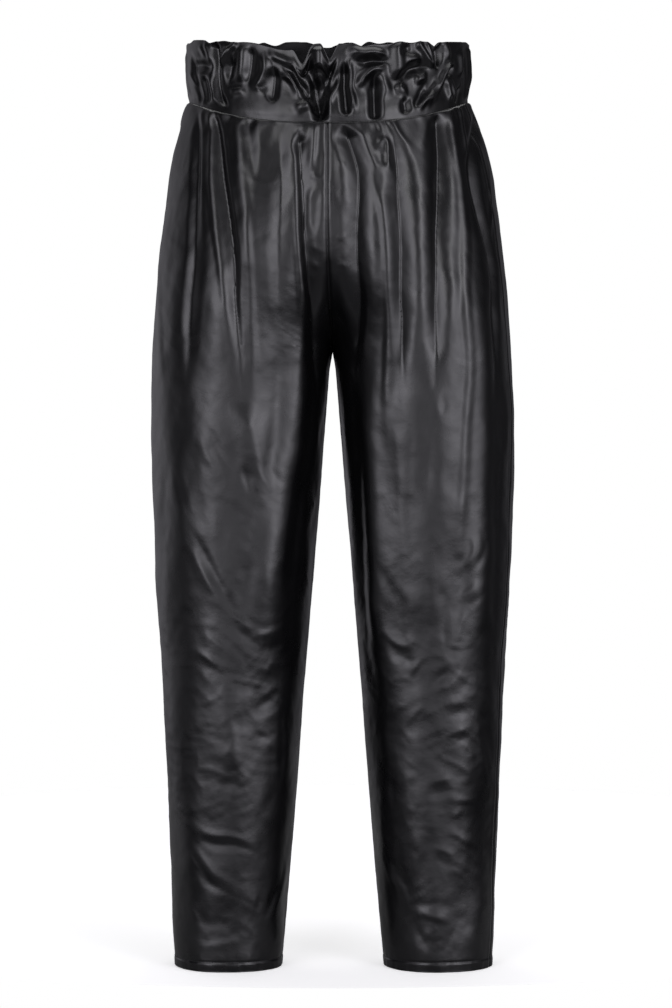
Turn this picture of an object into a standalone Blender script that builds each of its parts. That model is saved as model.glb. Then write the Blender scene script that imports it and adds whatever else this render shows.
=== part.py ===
"""High-waisted leather-look leggings: four leg panels and a gathered paper-bag waistband.

The garment is hollow and keeps the filled-out shape that it has when it is worn. The tables and the
sizes below are in millimetres, and every point is turned to metres once, where a mesh is made.

Frame: the origin is the middle of the waist seam at the height of its two sides, +Z is up and the
front faces -Y, so +X is the garment's own left. A "drop" is a distance down from the origin.
"""

import math
from collections import namedtuple

import bmesh
import bpy
import numpy as np

MILLIMETRE = 0.001

# --- Driving dimensions ---------------------------------------------------------------------------
CROTCH_DROP = 272.0  # waist seam, at the sides, down to the crotch point
HEM_DROP = 947.0  # waist seam, at the sides, down to the hem's lower edge
BAND_HEIGHT = 64.0  # waistband's height at the sides, bunched on its elastic
AXIS_SETBACK = 8.0  # crotch point and inseams, behind the middle of the waist

CLOTH_WALL = 1.2  # coated cloth on its knitted backing
BAND_WALL = 2.0  # the waistband is folded double
HEM_WALL = 2.2  # the hem is turned up once
HEM_HEIGHT = 11.0
SEAM_GAP = 0.3  # between the edges of two pieces that a seam joins

SEAM_DIP_FRONT = 36.0  # the waist seam is this much lower at the centre front than at the sides
SEAM_DIP_BACK = -12.0  # and this much higher at the centre back
TOP_DIP_FRONT = 17.0  # the same for the waistband's top edge
TOP_DIP_BACK = -21.0
DIP_REACH = 170.0  # rows of the leg panels are level from this drop down
DIP_POWER = 2.5  # 2 is a parabola, and more keeps a dip's middle flatter
GATHER_DIP_SHARE = 0.7  # how much of a gather's depth shows as a dip of the top edge
NOTCH_FOOT = 0.3  # notches reach this far down the band, in parts of its height

OUTLINE_POWER = 2.15  # 2 is an ellipse, and more is squarer
SIDE_SEAM_TURN = {"left": 22.0, "right": -12.0}  # degrees that a side seam lies to the front

# --- Mesh density -----------------------------------------------------------------------------------
PANEL_COLUMNS = 24
RISE_ROWS = 16  # waist seam to crotch
LEG_ROWS = 14  # crotch to hem
BAND_COLUMNS_A_QUARTER = 40
BAND_ROWS = 5
RISE_CROWDING = 1.7  # above 1 crowds the rows towards the crotch
LEG_CROWDING = 1.15
FLARE_ROW_DROP = 9.0  # one more row close under the waist seam, where the gathers spring out
SECTION_SAMPLES = 160

# The garment at one level: where its silhouette stands to each side, where the centre seam (or,
# lower down, the middle of the gap) is, half of the gap between the legs, and how far the cloth
# stands to the front and to the back. lobe is where it stands furthest, from the seam (0) to the
# side (1).
Level = namedtuple("Level", "drop right_edge seam left_edge gap front back lobe")
LEVELS = [
    Level(-92, -160, -3.0, 153, 0.0, 106, 103, 0.020),
    Level(-64, -159, -3.0, 152, 0.0, 106, 103, 0.020),
    Level(-30, -158, -3.5, 152, 0.0, 105, 102, 0.020),
    Level(0, -158, -4.0, 153, 0.0, 103, 100, 0.025),
    Level(10, -162, -4.0, 157, 0.0, 105, 103, 0.040),
    Level(30, -167, -4.0, 164, 0.0, 108, 107, 0.085),
    Level(75, -177, -4.0, 176, 0.0, 112, 116, 0.200),
    Level(120, -183, -4.0, 183, 0.0, 113, 123, 0.310),
    Level(165, -189, -3.5, 189, 0.0, 112, 128, 0.400),
    Level(210, -192, -2.0, 194, 0.0, 110, 129, 0.470),
    Level(CROTCH_DROP, -196, 1.5, 199, 0.0, 105, 121, 0.500),
    Level(294, -197, 1.6, 200, 3.8, 103, 118, 0.506),
    Level(360, -198, 1.8, 202, 8.8, 98, 109, 0.522),
    Level(470, -194, 2.2, 199, 17.6, 90, 95, 0.546),
    Level(560, -190, 2.2, 194, 25.2, 82, 83, 0.566),
    Level(650, -186, 1.8, 189, 32.6, 75, 78, 0.590),
    Level(735, -181, 2.2, 185, 38.6, 68, 74, 0.608),
    Level(825, -177, 1.8, 181, 45.7, 60, 67, 0.630),
    Level(910, -175, 2.2, 178, 53.0, 53, 60, 0.655),
    Level(HEM_DROP, -173, 2.2, 176, 56.4, 50, 56, 0.665),
]

# The crotch seam hangs in a U between the lobes: each face's spread is how fast they run together
# above the crotch point, in parts of a lobe's width for each millimetre and each square millimetre.
Spread = namedtuple("Spread", "linear square")
CROTCH_SPREAD = {"front": Spread(0.001, 0.00014), "back": Spread(0.001, 0.00010)}

# A fold is a soft ridge (height above 0) or trough (below 0) that runs down the cloth. x is across
# the garment, bow bends its middle sideways, width is half of its foot, and peak is how far along
# its length it is highest.
Fold = namedtuple("Fold", "x_top drop_top x_low drop_low bow width height peak")
FRONT_LEG_FOLDS = [
    Fold(-141, 14, -164, 370, 0, 18, -5.0, 0.35),
    Fold(-127, 12, -100, 335, 0, 14, 6.0, 0.25),
    Fold(-113, 16, -95, 250, 0, 12, -4.5, 0.25),
    Fold(-102, 16, -72, 370, 0, 16, 5.5, 0.30),
    Fold(-80, 26, -76, 240, 0, 14, -2.5, 0.30),
    Fold(-58, 36, -55, 275, 0, 22, -4.0, 0.45),
    Fold(-38, 34, -44, 410, 9, 14, 7.5, 0.38),
    Fold(-22, 36, -25, 260, 0, 12, -7.0, 0.42),
    Fold(-12, 38, -14, 220, 0, 9, 3.0, 0.45),
    Fold(10, 40, 11, 235, 0, 13, 3.0, 0.45),
    Fold(17, 36, 29, 110, 0, 11, -5.5, 0.45),
    Fold(36, 80, 24, 340, 0, 16, -7.0, 0.42),
    Fold(50, 50, 61, 345, 0, 15, 6.5, 0.30),
    Fold(73, 28, 74, 285, 0, 14, -5.0, 0.28),
    Fold(91, 28, 87, 345, 0, 14, 6.0, 0.28),
    Fold(112, 16, 106, 265, 0, 13, -5.0, 0.28),
    Fold(126, 12, 132, 430, 8, 18, 6.5, 0.32),
    Fold(157, 60, 170, 340, 0, 14, -4.0, 0.40),
]
FRONT_BAND_FOLDS = [
    Fold(-142, -70, -140, 10, 0, 9, 4.0, 0.50),
    Fold(-130, -62, -128, 12, 0, 8, 3.5, 0.50),
    Fold(-119, -70, -114, 22, 0, 9, -6.0, 0.40),
    Fold(-97, -72, -101, 24, 0, 16, 5.5, 0.45),
    Fold(-81, -60, -80, 26, 0, 9, -3.5, 0.60),
    Fold(-71, -60, -76, 28, 0, 10, 4.0, 0.50),
    Fold(-59, -62, -57, 32, 0, 10, -4.5, 0.50),
    Fold(-44, -68, -26, 34, 0, 12, 6.5, 0.55),
    Fold(-29, -68, -17, 36, 0, 10, -7.0, 0.40),
    Fold(-15, -62, -15, -4, 0, 10, 5.5, 0.45),
    Fold(-3, -66, -6, 38, 0, 9, -7.0, 0.55),
    Fold(6, -62, 6, 36, 0, 9, 4.5, 0.55),
    Fold(18, -64, 21, 36, 0, 8, -5.0, 0.50),
    Fold(28, -62, 32, 34, 0, 10, 5.0, 0.50),
    Fold(49, -50, 51, 32, 0, 9, -5.0, 0.55),
    Fold(72, -66, 74, 28, 0, 18, 6.5, 0.45),
    Fold(97, -66, 95, 24, 0, 9, -4.0, 0.50),
    Fold(112, -70, 113, 20, 0, 9, -6.0, 0.40),
    Fold(124, -64, 120, 18, 0, 9, 4.5, 0.50),
    Fold(137, -66, 136, 12, 0, 10, 4.0, 0.50),
]

# A notch is a dip of the waistband's top edge where the elastic bunches it, half_width to each side
# of x.
Notch = namedtuple("Notch", "x half_width depth")
FRONT_NOTCHES = [
    Notch(-136, 8, 3.0),
    Notch(-45, 44, 5.0),
    Notch(-30, 11, 15.0),
    Notch(-1, 10, 15.0),
    Notch(34, 14, 3.0),
    Notch(113, 10, 5.0),
]
BACK_NOTCHES = [
    Notch(-112, 14, 5.0),
    Notch(-60, 12, 4.0),
    Notch(-9, 27, 8.0),
    Notch(48, 12, 5.0),
    Notch(104, 14, 6.0),
]

# The hidden back repeats the front's kinds of fold: evenly set out and unevenly sized by a sine.
Reach = namedtuple("Reach", "drop_top drop_low width height")
BACK_LEG_FOLD_COUNT = 18
BACK_LEG_REACH = Reach(-14.0, 235.0, 13.0, 5.0)
BACK_BAND_FOLD_COUNT = 24
BACK_BAND_REACH = Reach(-118.0, 4.0, 9.5, 5.5)
FOLD_HALF_SPAN = 145.0
UNEVEN_TURN = 2.4  # radians from one fold to the next
UNEVEN_HEIGHT = 0.3
UNEVEN_LENGTH = 0.15
UNEVEN_BOW = 4.0
BACK_FOLD_FAN = 1.1  # folds stand this much further apart at their lower ends
BACK_FOLD_PEAK = 0.35
FOLD_FACING = 0.45  # a fold fades out where the cloth turns this far to the side

# On the sides the cloth is gathered too: count is for a whole turn, start is where the gathers
# begin under (or, for the waistband, over) the waist seam, and reach is how far they run.
SideGathers = namedtuple("SideGathers", "count height start reach")
LEG_SIDE_GATHERS = SideGathers(19, 3.0, 26.0, 190.0)
BAND_SIDE_GATHERS = SideGathers(44, 3.2, 22.0, 400.0)
SIDE_FACING = 0.85

CLOTH_COLOUR = (0.012, 0.012, 0.014, 1.0)
COATING_ROUGHNESS = 0.42
SHARP_EDGE = 50.0  # degrees, above which an edge is shaded sharp


def smooth_step(value):
    """0 below 0, 1 above 1, and an S-curve between them."""
    value = np.clip(value, 0.0, 1.0)
    return value * value * (3.0 - 2.0 * value)


def curve_through(places, values, at):
    """Value at `at` of a smooth curve through the table's points."""
    places = np.asarray(places, float)
    values = np.asarray(values, float)
    slopes = np.gradient(values, places)
    at = np.clip(at, places[0], places[-1])
    k = np.clip(np.searchsorted(places, at) - 1, 0, len(places) - 2)
    step = places[k + 1] - places[k]
    t = (at - places[k]) / step
    return (
        (2 * t**3 - 3 * t**2 + 1) * values[k]
        + (t**3 - 2 * t**2 + t) * step * slopes[k]
        + (3 * t**2 - 2 * t**3) * values[k + 1]
        + (t**3 - t**2) * step * slopes[k + 1]
    )


def level_at(drop):
    """The garment's measures at any drop, read from LEVELS."""
    drops = [level.drop for level in LEVELS]
    found = [curve_through(drops, column, drop) for column in zip(*LEVELS)]
    level = Level(*found)
    if drop <= CROTCH_DROP:
        return level._replace(gap=0.0)
    below = [row for row in LEVELS if row.drop >= CROTCH_DROP]
    gap = np.interp(drop, [row.drop for row in below], [row.gap for row in below])
    return level._replace(gap=float(gap))


def lobe_overlap(drop, face):
    """How far the two lobes run into each other above the crotch, in parts of a lobe's width."""
    above = CROTCH_DROP - drop
    spread = CROTCH_SPREAD[face]
    return 1.0 + spread.linear * above + spread.square * above**2


def section(side, drop, shares):
    """Points of one side's outline at one drop.

    A share of 0 is the front's inner edge, 1 is the side seam and 2 is the back's inner edge, and
    shares between them go by the length of the curve.
    """
    level = level_at(drop)
    edge = level.left_edge if side == "left" else level.right_edge
    outer = abs(edge - level.seam)
    lobe = (outer + level.gap) / 2.0 if drop >= CROTCH_DROP else level.lobe * outer
    turn = math.radians(SIDE_SEAM_TURN[side])
    depths = {"front": level.front + AXIS_SETBACK, "back": level.back - AXIS_SETBACK}
    halves = []
    for face, forward, past_side in (("front", -1.0, -turn), ("back", 1.0, turn)):
        if drop >= CROTCH_DROP:
            start, inner = 0.0, lobe - level.gap
        else:
            overlap = lobe_overlap(drop, face)
            start = math.acos(overlap ** (-OUTLINE_POWER / 2.0))
            inner = lobe * overlap
        # The angle runs from the inner edge, past the lobe's front or back, to the side seam.
        angle = np.linspace(start, math.pi + past_side, SECTION_SAMPLES)
        cosine, sine = np.cos(angle), np.sin(angle)
        across = np.sign(cosine) * np.abs(cosine) ** (2.0 / OUTLINE_POWER)
        along = np.sign(sine) * np.abs(sine) ** (2.0 / OUTLINE_POWER)
        half_width = np.where(cosine > 0.0, inner, outer - lobe)
        other = "back" if face == "front" else "front"
        half_depth = np.where(sine > 0.0, depths[face], depths[other])
        x = lobe - half_width * across
        y = AXIS_SETBACK + forward * half_depth * along
        halves.append(np.stack([x, y], axis=1))
    front, back = halves[0], halves[1][::-1]
    in_front = shares <= 1.0
    flat = np.concatenate([resample(front, shares[in_front]), resample(back, shares[~in_front] - 1.0)])
    outward = 1.0 if side == "left" else -1.0
    return np.stack([level.seam + outward * flat[:, 0], flat[:, 1], np.full(len(flat), -drop)], axis=1)


def resample(line, shares):
    """Points at these shares of a polyline's length."""
    steps = np.linalg.norm(np.diff(line, axis=0), axis=1)
    length = np.concatenate([[0.0], np.cumsum(steps)])
    wanted = shares * length[-1]
    return np.stack([np.interp(wanted, length, line[:, i]) for i in (0, 1)], axis=1)


def dip(points, side, drop, front_dip, back_dip):
    """How much lower than its sides each point of a sloping row lies."""
    level = level_at(drop)
    edge = level.left_edge if side == "left" else level.right_edge
    across = np.clip(np.abs(points[:, 0] - level.seam) / abs(edge - level.seam), 0.0, 1.0)
    depth = np.where(points[:, 1] < AXIS_SETBACK, front_dip, back_dip)
    return depth * (1.0 - across**DIP_POWER)


def sloping_row(side, drop, shares, front_dip, back_dip):
    """One row of points, level at the sides and dipping to the centre front and back."""
    base = section(side, drop, shares)
    if front_dip == 0.0 and back_dip == 0.0:
        return base
    lowered = drop + dip(base, side, drop, front_dip, back_dip)
    return np.concatenate([section(side, d, shares[k : k + 1]) for k, d in enumerate(lowered)])


def leg_grid(side):
    """Rows of points of one leg, waist seam to hem, each from the front's inner edge to the back's."""
    above = CROTCH_DROP * (1.0 - np.linspace(1.0, 0.0, RISE_ROWS + 1) ** RISE_CROWDING)
    above = np.insert(above, 1, FLARE_ROW_DROP)
    down_leg = np.linspace(0.0, 1.0, LEG_ROWS + 1)[1:] ** LEG_CROWDING
    below = CROTCH_DROP + (HEM_DROP - CROTCH_DROP) * down_leg
    below[-2] = HEM_DROP - HEM_HEIGHT
    shares = np.linspace(0.0, 2.0, 2 * PANEL_COLUMNS + 1)
    rows = []
    for drop in np.concatenate([above, below]):
        slope = 1.0 - smooth_step(drop / DIP_REACH)
        rows.append(sloping_row(side, drop, shares, slope * SEAM_DIP_FRONT, slope * SEAM_DIP_BACK))
    return np.array(rows)


def band_ring():
    """Rows of points round the waistband, from the waist seam up, each from the left by the back."""
    shares = np.linspace(0.0, 2.0, 2 * BAND_COLUMNS_A_QUARTER + 1)
    rows = []
    for height in np.linspace(0.0, 1.0, BAND_ROWS + 1):
        front_dip = SEAM_DIP_FRONT + (TOP_DIP_FRONT - SEAM_DIP_FRONT) * height
        back_dip = SEAM_DIP_BACK + (TOP_DIP_BACK - SEAM_DIP_BACK) * height
        left = sloping_row("left", -BAND_HEIGHT * height, shares, front_dip, back_dip)
        right = sloping_row("right", -BAND_HEIGHT * height, shares, front_dip, back_dip)
        # Left side seam, back, right side seam, front, and back to the left side seam.
        ring = [left[BAND_COLUMNS_A_QUARTER:-1], right[:0:-1], left[:BAND_COLUMNS_A_QUARTER]]
        rows.append(np.concatenate(ring))
    return np.array(rows)


def normals(points, before, after):
    """Outward normals of a grid. before and after are the columns that would lie beside its edges."""
    wide = np.concatenate([before[:, None], points, after[:, None]], axis=1)
    along_row = wide[:, 2:] - wide[:, :-2]
    down = np.gradient(points, axis=0)
    normal = np.cross(down, along_row)
    return normal / np.linalg.norm(normal, axis=2, keepdims=True)


def leg_normals(points, side):
    """Outward normals of a leg, whose rows close on themselves from the crotch down."""
    is_leg = (-points[:, 0, 2] > CROTCH_DROP - 1.0)[:, None]
    before = np.where(is_leg, points[:, -2], 2.0 * points[:, 0] - points[:, 1])
    after = np.where(is_leg, points[:, 1], 2.0 * points[:, -1] - points[:, -2])
    normal = normals(points, before, after)
    outward = 1.0
    if side == "right":
        normal = -normal
        outward = -1.0
    # At the centre seam no wall leans across to the other leg.
    for column in (0, -1):
        normal[:, column, 0] = outward * np.minimum(outward * normal[:, column, 0], 0.0)
    return normal / np.linalg.norm(normal, axis=2, keepdims=True)


def back_folds(count, drop_top, drop_low, width, height):
    """Folds for the back, alternately ridge and trough, set out evenly between the sides."""
    folds = []
    for k in range(count):
        x = FOLD_HALF_SPAN * (2.0 * (k + 0.5) / count - 1.0)
        uneven = math.sin(UNEVEN_TURN * k)
        ridge_or_trough = 1 if k % 2 else -1
        swell = height * (1.0 - UNEVEN_HEIGHT * (1.0 - uneven)) * ridge_or_trough
        low = drop_top + (drop_low - drop_top) * (1.0 - UNEVEN_LENGTH * (1.0 - uneven))
        bow = UNEVEN_BOW * uneven
        folds.append(Fold(x, drop_top, x * BACK_FOLD_FAN, low, bow, width, swell, BACK_FOLD_PEAK))
    return folds


def fold_height(x, drop, folds):
    """How far the folds lift the cloth at each point."""
    lift = np.zeros_like(x)
    for fold in folds:
        along = (drop - fold.drop_top) / (fold.drop_low - fold.drop_top)
        centre = fold.x_top + (fold.x_low - fold.x_top) * along + fold.bow * 4.0 * along * (1.0 - along)
        swell = np.where(along < fold.peak, along / fold.peak, (1.0 - along) / (1.0 - fold.peak))
        off = np.clip(np.abs(x - centre) / fold.width, 0.0, 1.0)
        lift += fold.height * smooth_step(swell) * 0.5 * (1.0 + np.cos(math.pi * off))
    return lift


def side_gather_height(points, normal, gathers):
    """How far the gathers on the garment's sides lift the cloth."""
    angle = np.arctan2(points[..., 1] - AXIS_SETBACK, points[..., 0])
    from_seam = np.abs(points[..., 2] - points[:1, :, 2])
    wave = np.sin(gathers.count * angle + UNEVEN_TURN * np.sin(3.0 * angle))
    sideways = 1.0 - smooth_step(np.abs(normal[..., 1]) / SIDE_FACING)
    run = smooth_step(from_seam / gathers.start) * (1.0 - smooth_step(from_seam / gathers.reach))
    return gathers.height * wave * sideways * run


def folded(points, normal, front_folds, rear_folds, side_gathers):
    """The grid with its folds raised along its normals, and how far each point was lifted."""
    facing = smooth_step(np.abs(normal[..., 1]) / FOLD_FACING)
    front = fold_height(points[..., 0], -points[..., 2], front_folds)
    rear = fold_height(points[..., 0], -points[..., 2], rear_folds)
    lift = facing * np.where(normal[..., 1] < 0.0, front, rear)
    lift += side_gather_height(points, normal, side_gathers)
    return points + normal * lift[..., None], lift


def notch_depth(x, notches):
    """How deep the notches are at each x."""
    depth = np.zeros_like(x)
    for notch in notches:
        away = np.clip(np.abs(x - notch.x) / notch.half_width, 0.0, 1.0)
        depth += notch.depth * 0.5 * (1.0 + np.cos(math.pi * away))
    return depth


def off_inner_seam(edge, side, face):
    """The inner edge of a leg panel, moved half a seam gap off the centre seam and off the inseam."""
    outward = 1.0 if side == "left" else -1.0
    forward = -1.0 if face == "front" else 1.0
    drops = -edge[:, 2]
    on_centre = drops < CROTCH_DROP + 1.0
    on_inseam = drops > CROTCH_DROP - 1.0
    half = SEAM_GAP / 2.0
    return edge + np.stack([on_centre * outward * half, on_inseam * forward * half, 0.0 * drops], axis=1)


def half_gap_step(edge, inside):
    """Half a seam gap from each edge point towards the point inside it."""
    way = inside - edge
    return way * (SEAM_GAP / 2.0) / np.linalg.norm(way, axis=-1, keepdims=True)


def cloth_material():
    """Matt black polyurethane coating."""
    material = bpy.data.materials.new("coated_cloth")
    material.use_nodes = True
    shader = material.node_tree.nodes["Principled BSDF"]
    shader.inputs["Base Color"].default_value = CLOTH_COLOUR
    shader.inputs["Roughness"].default_value = COATING_ROUGHNESS
    shader.inputs["Metallic"].default_value = 0.0
    return material


def wall_object(name, outer, normal, thickness, material, collection):
    """A closed wall of cloth: the outer grid, one inside it, and a rim that joins them.

    thickness is one value for each row of the grid.
    """
    inner = outer - normal * np.asarray(thickness)[:, None, None]
    rows, columns = outer.shape[:2]
    shell = bmesh.new()
    faces = [
        [[shell.verts.new(point * MILLIMETRE) for point in row] for row in grid]
        for grid in (outer, inner)
    ]
    for row in range(rows - 1):
        for column in range(columns - 1):
            for grid in faces:
                upper, lower = grid[row], grid[row + 1]
                shell.faces.new((upper[column], upper[column + 1], lower[column + 1], lower[column]))
    rim = (
        [(0, c) for c in range(columns)]
        + [(r, columns - 1) for r in range(1, rows)]
        + [(rows - 1, c) for c in range(columns - 2, -1, -1)]
        + [(r, 0) for r in range(rows - 2, 0, -1)]
    )
    for (r0, c0), (r1, c1) in zip(rim, rim[1:] + rim[:1]):
        shell.faces.new((faces[0][r0][c0], faces[0][r1][c1], faces[1][r1][c1], faces[1][r0][c0]))
    bmesh.ops.recalc_face_normals(shell, faces=shell.faces)
    mesh = bpy.data.meshes.new(name)
    shell.to_mesh(mesh)
    shell.free()
    mesh.materials.append(material)
    mesh.shade_smooth()
    mesh.set_sharp_from_angle(angle=math.radians(SHARP_EDGE))
    piece = bpy.data.objects.new(name, mesh)
    collection.objects.link(piece)
    return piece


def make_leg(side, material, collection):
    """The front and the back panel of one leg, from the waist seam to the hem."""
    flat = leg_grid(side)
    normal = leg_normals(flat, side)
    rear_folds = back_folds(BACK_LEG_FOLD_COUNT, *BACK_LEG_REACH)
    grid, _ = folded(flat, normal, FRONT_LEG_FOLDS, rear_folds, LEG_SIDE_GATHERS)
    normal = leg_normals(grid, side)
    grid[0] += half_gap_step(grid[0], grid[1])
    in_hem = grid[:, 0, 2] < -(HEM_DROP - HEM_HEIGHT + 1.0)
    thickness = np.where(in_hem, HEM_WALL, CLOTH_WALL)
    front = grid[:, : PANEL_COLUMNS + 1].copy()
    front[:, 0] = off_inner_seam(front[:, 0], side, "front")
    front[:, -1] += half_gap_step(front[:, -1], front[:, -2])
    back = grid[:, PANEL_COLUMNS:].copy()
    back[:, -1] = off_inner_seam(back[:, -1], side, "back")
    back[:, 0] += half_gap_step(back[:, 0], back[:, 1])
    front_normal = normal[:, : PANEL_COLUMNS + 1]
    back_normal = normal[:, PANEL_COLUMNS:]
    wall_object(f"{side}_front_panel", front, front_normal, thickness, material, collection)
    wall_object(f"{side}_back_panel", back, back_normal, thickness, material, collection)


def make_waistband(material, collection):
    """The front and the back of the waistband, joined at the side seams."""
    ring = band_ring()
    normal = -normals(ring, ring[:, -1], ring[:, 0])
    rear_folds = back_folds(BACK_BAND_FOLD_COUNT, *BACK_BAND_REACH)
    ring, lift = folded(ring, normal, FRONT_BAND_FOLDS, rear_folds, BAND_SIDE_GATHERS)
    ring[-1, :, 2] += GATHER_DIP_SHARE * np.minimum(lift[-1], 0.0)
    height = np.linspace(0.0, 1.0, BAND_ROWS + 1)[:, None]
    is_front = ring[..., 1] < AXIS_SETBACK
    x = ring[..., 0]
    depth = np.where(is_front, notch_depth(x, FRONT_NOTCHES), notch_depth(x, BACK_NOTCHES))
    ring[..., 2] -= depth * smooth_step((height - NOTCH_FOOT) / (1.0 - NOTCH_FOOT))
    normal = -normals(ring, ring[:, -1], ring[:, 0])
    ring[0] += half_gap_step(ring[0], ring[1])
    thickness = np.full(len(ring), BAND_WALL)
    half = 2 * BAND_COLUMNS_A_QUARTER
    closed = np.concatenate([ring, ring[:, :1]], axis=1)
    closed_normal = np.concatenate([normal, normal[:, :1]], axis=1)
    for name, columns in (
        ("waistband_back", slice(0, half + 1)),
        ("waistband_front", slice(half, 2 * half + 1)),
    ):
        outer = closed[:, columns].copy()
        outer[:, 0] += half_gap_step(outer[:, 0], outer[:, 1])
        outer[:, -1] += half_gap_step(outer[:, -1], outer[:, -2])
        wall_object(name, outer, closed_normal[:, columns], thickness, material, collection)


def main():
    """Clears the scene and builds the leggings."""
    for leftover in list(bpy.data.objects):
        bpy.data.objects.remove(leftover)
    collection = bpy.data.collections.new("leggings")
    bpy.context.scene.collection.children.link(collection)
    material = cloth_material()
    for side in ("left", "right"):
        make_leg(side, material, collection)
    make_waistband(material, collection)


main()
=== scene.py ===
"""Black leather-look leggings with a paper-bag waist, dressed for a studio picture.

Sizes are in millimetres unless a name ends in _m, and are turned to metres where a mesh is made. A
"drop" is a distance down from the origin, which is the middle of the waist seam at its sides. The
front of the garment faces -Y, and +X is the wearer's left.
"""

from __future__ import annotations

import logging
import math
from dataclasses import dataclass, field, replace
from enum import Enum
from typing import Sequence

import bpy
import numpy as np
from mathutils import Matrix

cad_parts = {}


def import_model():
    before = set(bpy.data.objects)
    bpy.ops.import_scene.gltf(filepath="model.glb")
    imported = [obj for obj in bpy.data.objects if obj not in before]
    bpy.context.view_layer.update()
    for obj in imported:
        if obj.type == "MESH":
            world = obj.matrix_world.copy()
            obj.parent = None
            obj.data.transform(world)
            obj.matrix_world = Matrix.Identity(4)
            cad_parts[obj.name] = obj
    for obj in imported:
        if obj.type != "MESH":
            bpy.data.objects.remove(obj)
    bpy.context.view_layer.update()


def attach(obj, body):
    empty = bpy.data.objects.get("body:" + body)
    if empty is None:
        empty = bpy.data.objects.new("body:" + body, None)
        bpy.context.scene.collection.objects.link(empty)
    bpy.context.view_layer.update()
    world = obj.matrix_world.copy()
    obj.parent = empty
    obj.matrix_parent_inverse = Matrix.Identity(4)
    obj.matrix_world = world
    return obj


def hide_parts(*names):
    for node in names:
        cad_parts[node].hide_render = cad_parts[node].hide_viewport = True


MILLIMETRE = 0.001
WAVE_LENGTHS = 6.28  # a wave texture of scale 1 has this many waves in a metre
NOISE_RANGE = (0.3, 0.7)  # where most of a noise texture's values are
WHITE = (1.0, 1.0, 1.0, 1.0)
log = logging.getLogger("leggings")


# --- Colour, nodes and small sums -------------------------------------------------------------------


def linear_from_hex(code: str) -> tuple[float, float, float, float]:
    """Turn an sRGB hex colour into a linear one.

    Args:
        code: Six hex digits with a leading hash sign.

    Returns:
        Linear red, green, blue and an alpha of 1.
    """
    parts = [int(code[k : k + 2], 16) / 255.0 for k in (1, 3, 5)]
    red, green, blue = (p / 12.92 if p <= 0.04045 else ((p + 0.055) / 1.055) ** 2.4 for p in parts)
    return (red, green, blue, 1.0)


def add_node(
    tree: bpy.types.NodeTree,
    kind: str,
    settings: dict[str, object] | None = None,
    inputs: dict[str | int, object] | None = None,
) -> bpy.types.Node:
    """Add a shader node with its settings, values and links.

    Args:
        tree: The material's node tree.
        kind: The node's type name.
        settings: Attributes of the node itself.
        inputs: A value, or an output socket to link from, for each input.

    Returns:
        The new node.
    """
    node = tree.nodes.new(kind)
    for name, value in (settings or {}).items():
        setattr(node, name, value)
    for name, value in (inputs or {}).items():
        if isinstance(value, bpy.types.NodeSocket):
            tree.links.new(value, node.inputs[name])
        else:
            node.inputs[name].default_value = value
    return node


def new_material(name: str, **inputs: object) -> tuple[bpy.types.Material, bpy.types.Node]:
    """Start a material.

    Args:
        name: What it is made of.
        inputs: The shader's values by name, with an underscore for each space.

    Returns:
        The material and its shader.
    """
    material = bpy.data.materials.new(name)
    material.use_nodes = True
    shader = material.node_tree.nodes["Principled BSDF"]
    for key, value in inputs.items():
        shader.inputs[key.replace("_", " ")].default_value = value
    return material, shader


def bump(
    tree: bpy.types.NodeTree,
    height: bpy.types.NodeSocket,
    strength: float,
    depth_mm: float,
    under: bpy.types.NodeSocket | None = None,
) -> bpy.types.NodeSocket:
    """Press a texture into a surface.

    Args:
        tree: The material's node tree.
        height: The texture's value.
        strength: How much of it shows.
        depth_mm: How deep it is.
        under: A normal that is already bumped.

    Returns:
        The bumped normal.
    """
    inputs = {"Strength": strength, "Distance": depth_mm * MILLIMETRE, "Height": height}
    if under is not None:
        inputs["Normal"] = under
    return add_node(tree, "ShaderNodeBump", inputs=inputs).outputs["Normal"]


def node_sum(
    tree: bpy.types.NodeTree, operation: str, *values: object, kind: str = "Math"
) -> bpy.types.NodeSocket:
    """One step of a sum.

    Args:
        tree: The node tree.
        operation: What it does, as the node names it.
        values: Its values, or sockets to link from, in order.
        kind: "Math" for a number and "VectorMath" for a vector.

    Returns:
        The socket that gives the result.
    """
    node = add_node(tree, f"ShaderNode{kind}", {"operation": operation}, dict(enumerate(values)))
    return node.outputs[0]


def mix(tree: bpy.types.NodeTree, share: object, first: object, second: object) -> bpy.types.NodeSocket:
    """A colour between two: the first where share is 0, the second where it is 1."""
    return add_node(tree, "ShaderNodeMixRGB", inputs={0: share, 1: first, 2: second}).outputs["Color"]


def smooth_step(value: np.ndarray | float) -> np.ndarray:
    """0 below 0, 1 above 1, and an S-curve between them."""
    value = np.clip(value, 0.0, 1.0)
    return value * value * (3.0 - 2.0 * value)


def curve_through(places: Sequence[float], values: Sequence[float], at: np.ndarray) -> np.ndarray:
    """Read a smooth curve that passes through a table's points.

    Args:
        places: Where the table's points are, rising.
        values: What the curve is worth there.
        at: Where to read it.

    Returns:
        The curve's values.
    """
    x = np.asarray(places, float)
    y = np.asarray(values, float)
    slopes = np.gradient(y, x)
    at = np.clip(at, x[0], x[-1])
    k = np.clip(np.searchsorted(x, at) - 1, 0, len(x) - 2)
    step = x[k + 1] - x[k]
    t = (at - x[k]) / step
    return (
        (2 * t**3 - 3 * t**2 + 1) * y[k]
        + (t**3 - 2 * t**2 + t) * step * slopes[k]
        + (3 * t**2 - 2 * t**3) * y[k + 1]
        + (t**3 - t**2) * step * slopes[k + 1]
    )


def unit(vectors: np.ndarray) -> np.ndarray:
    """The same vectors with length 1."""
    return vectors / np.maximum(np.linalg.norm(vectors, axis=-1, keepdims=True), 1e-9)


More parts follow.
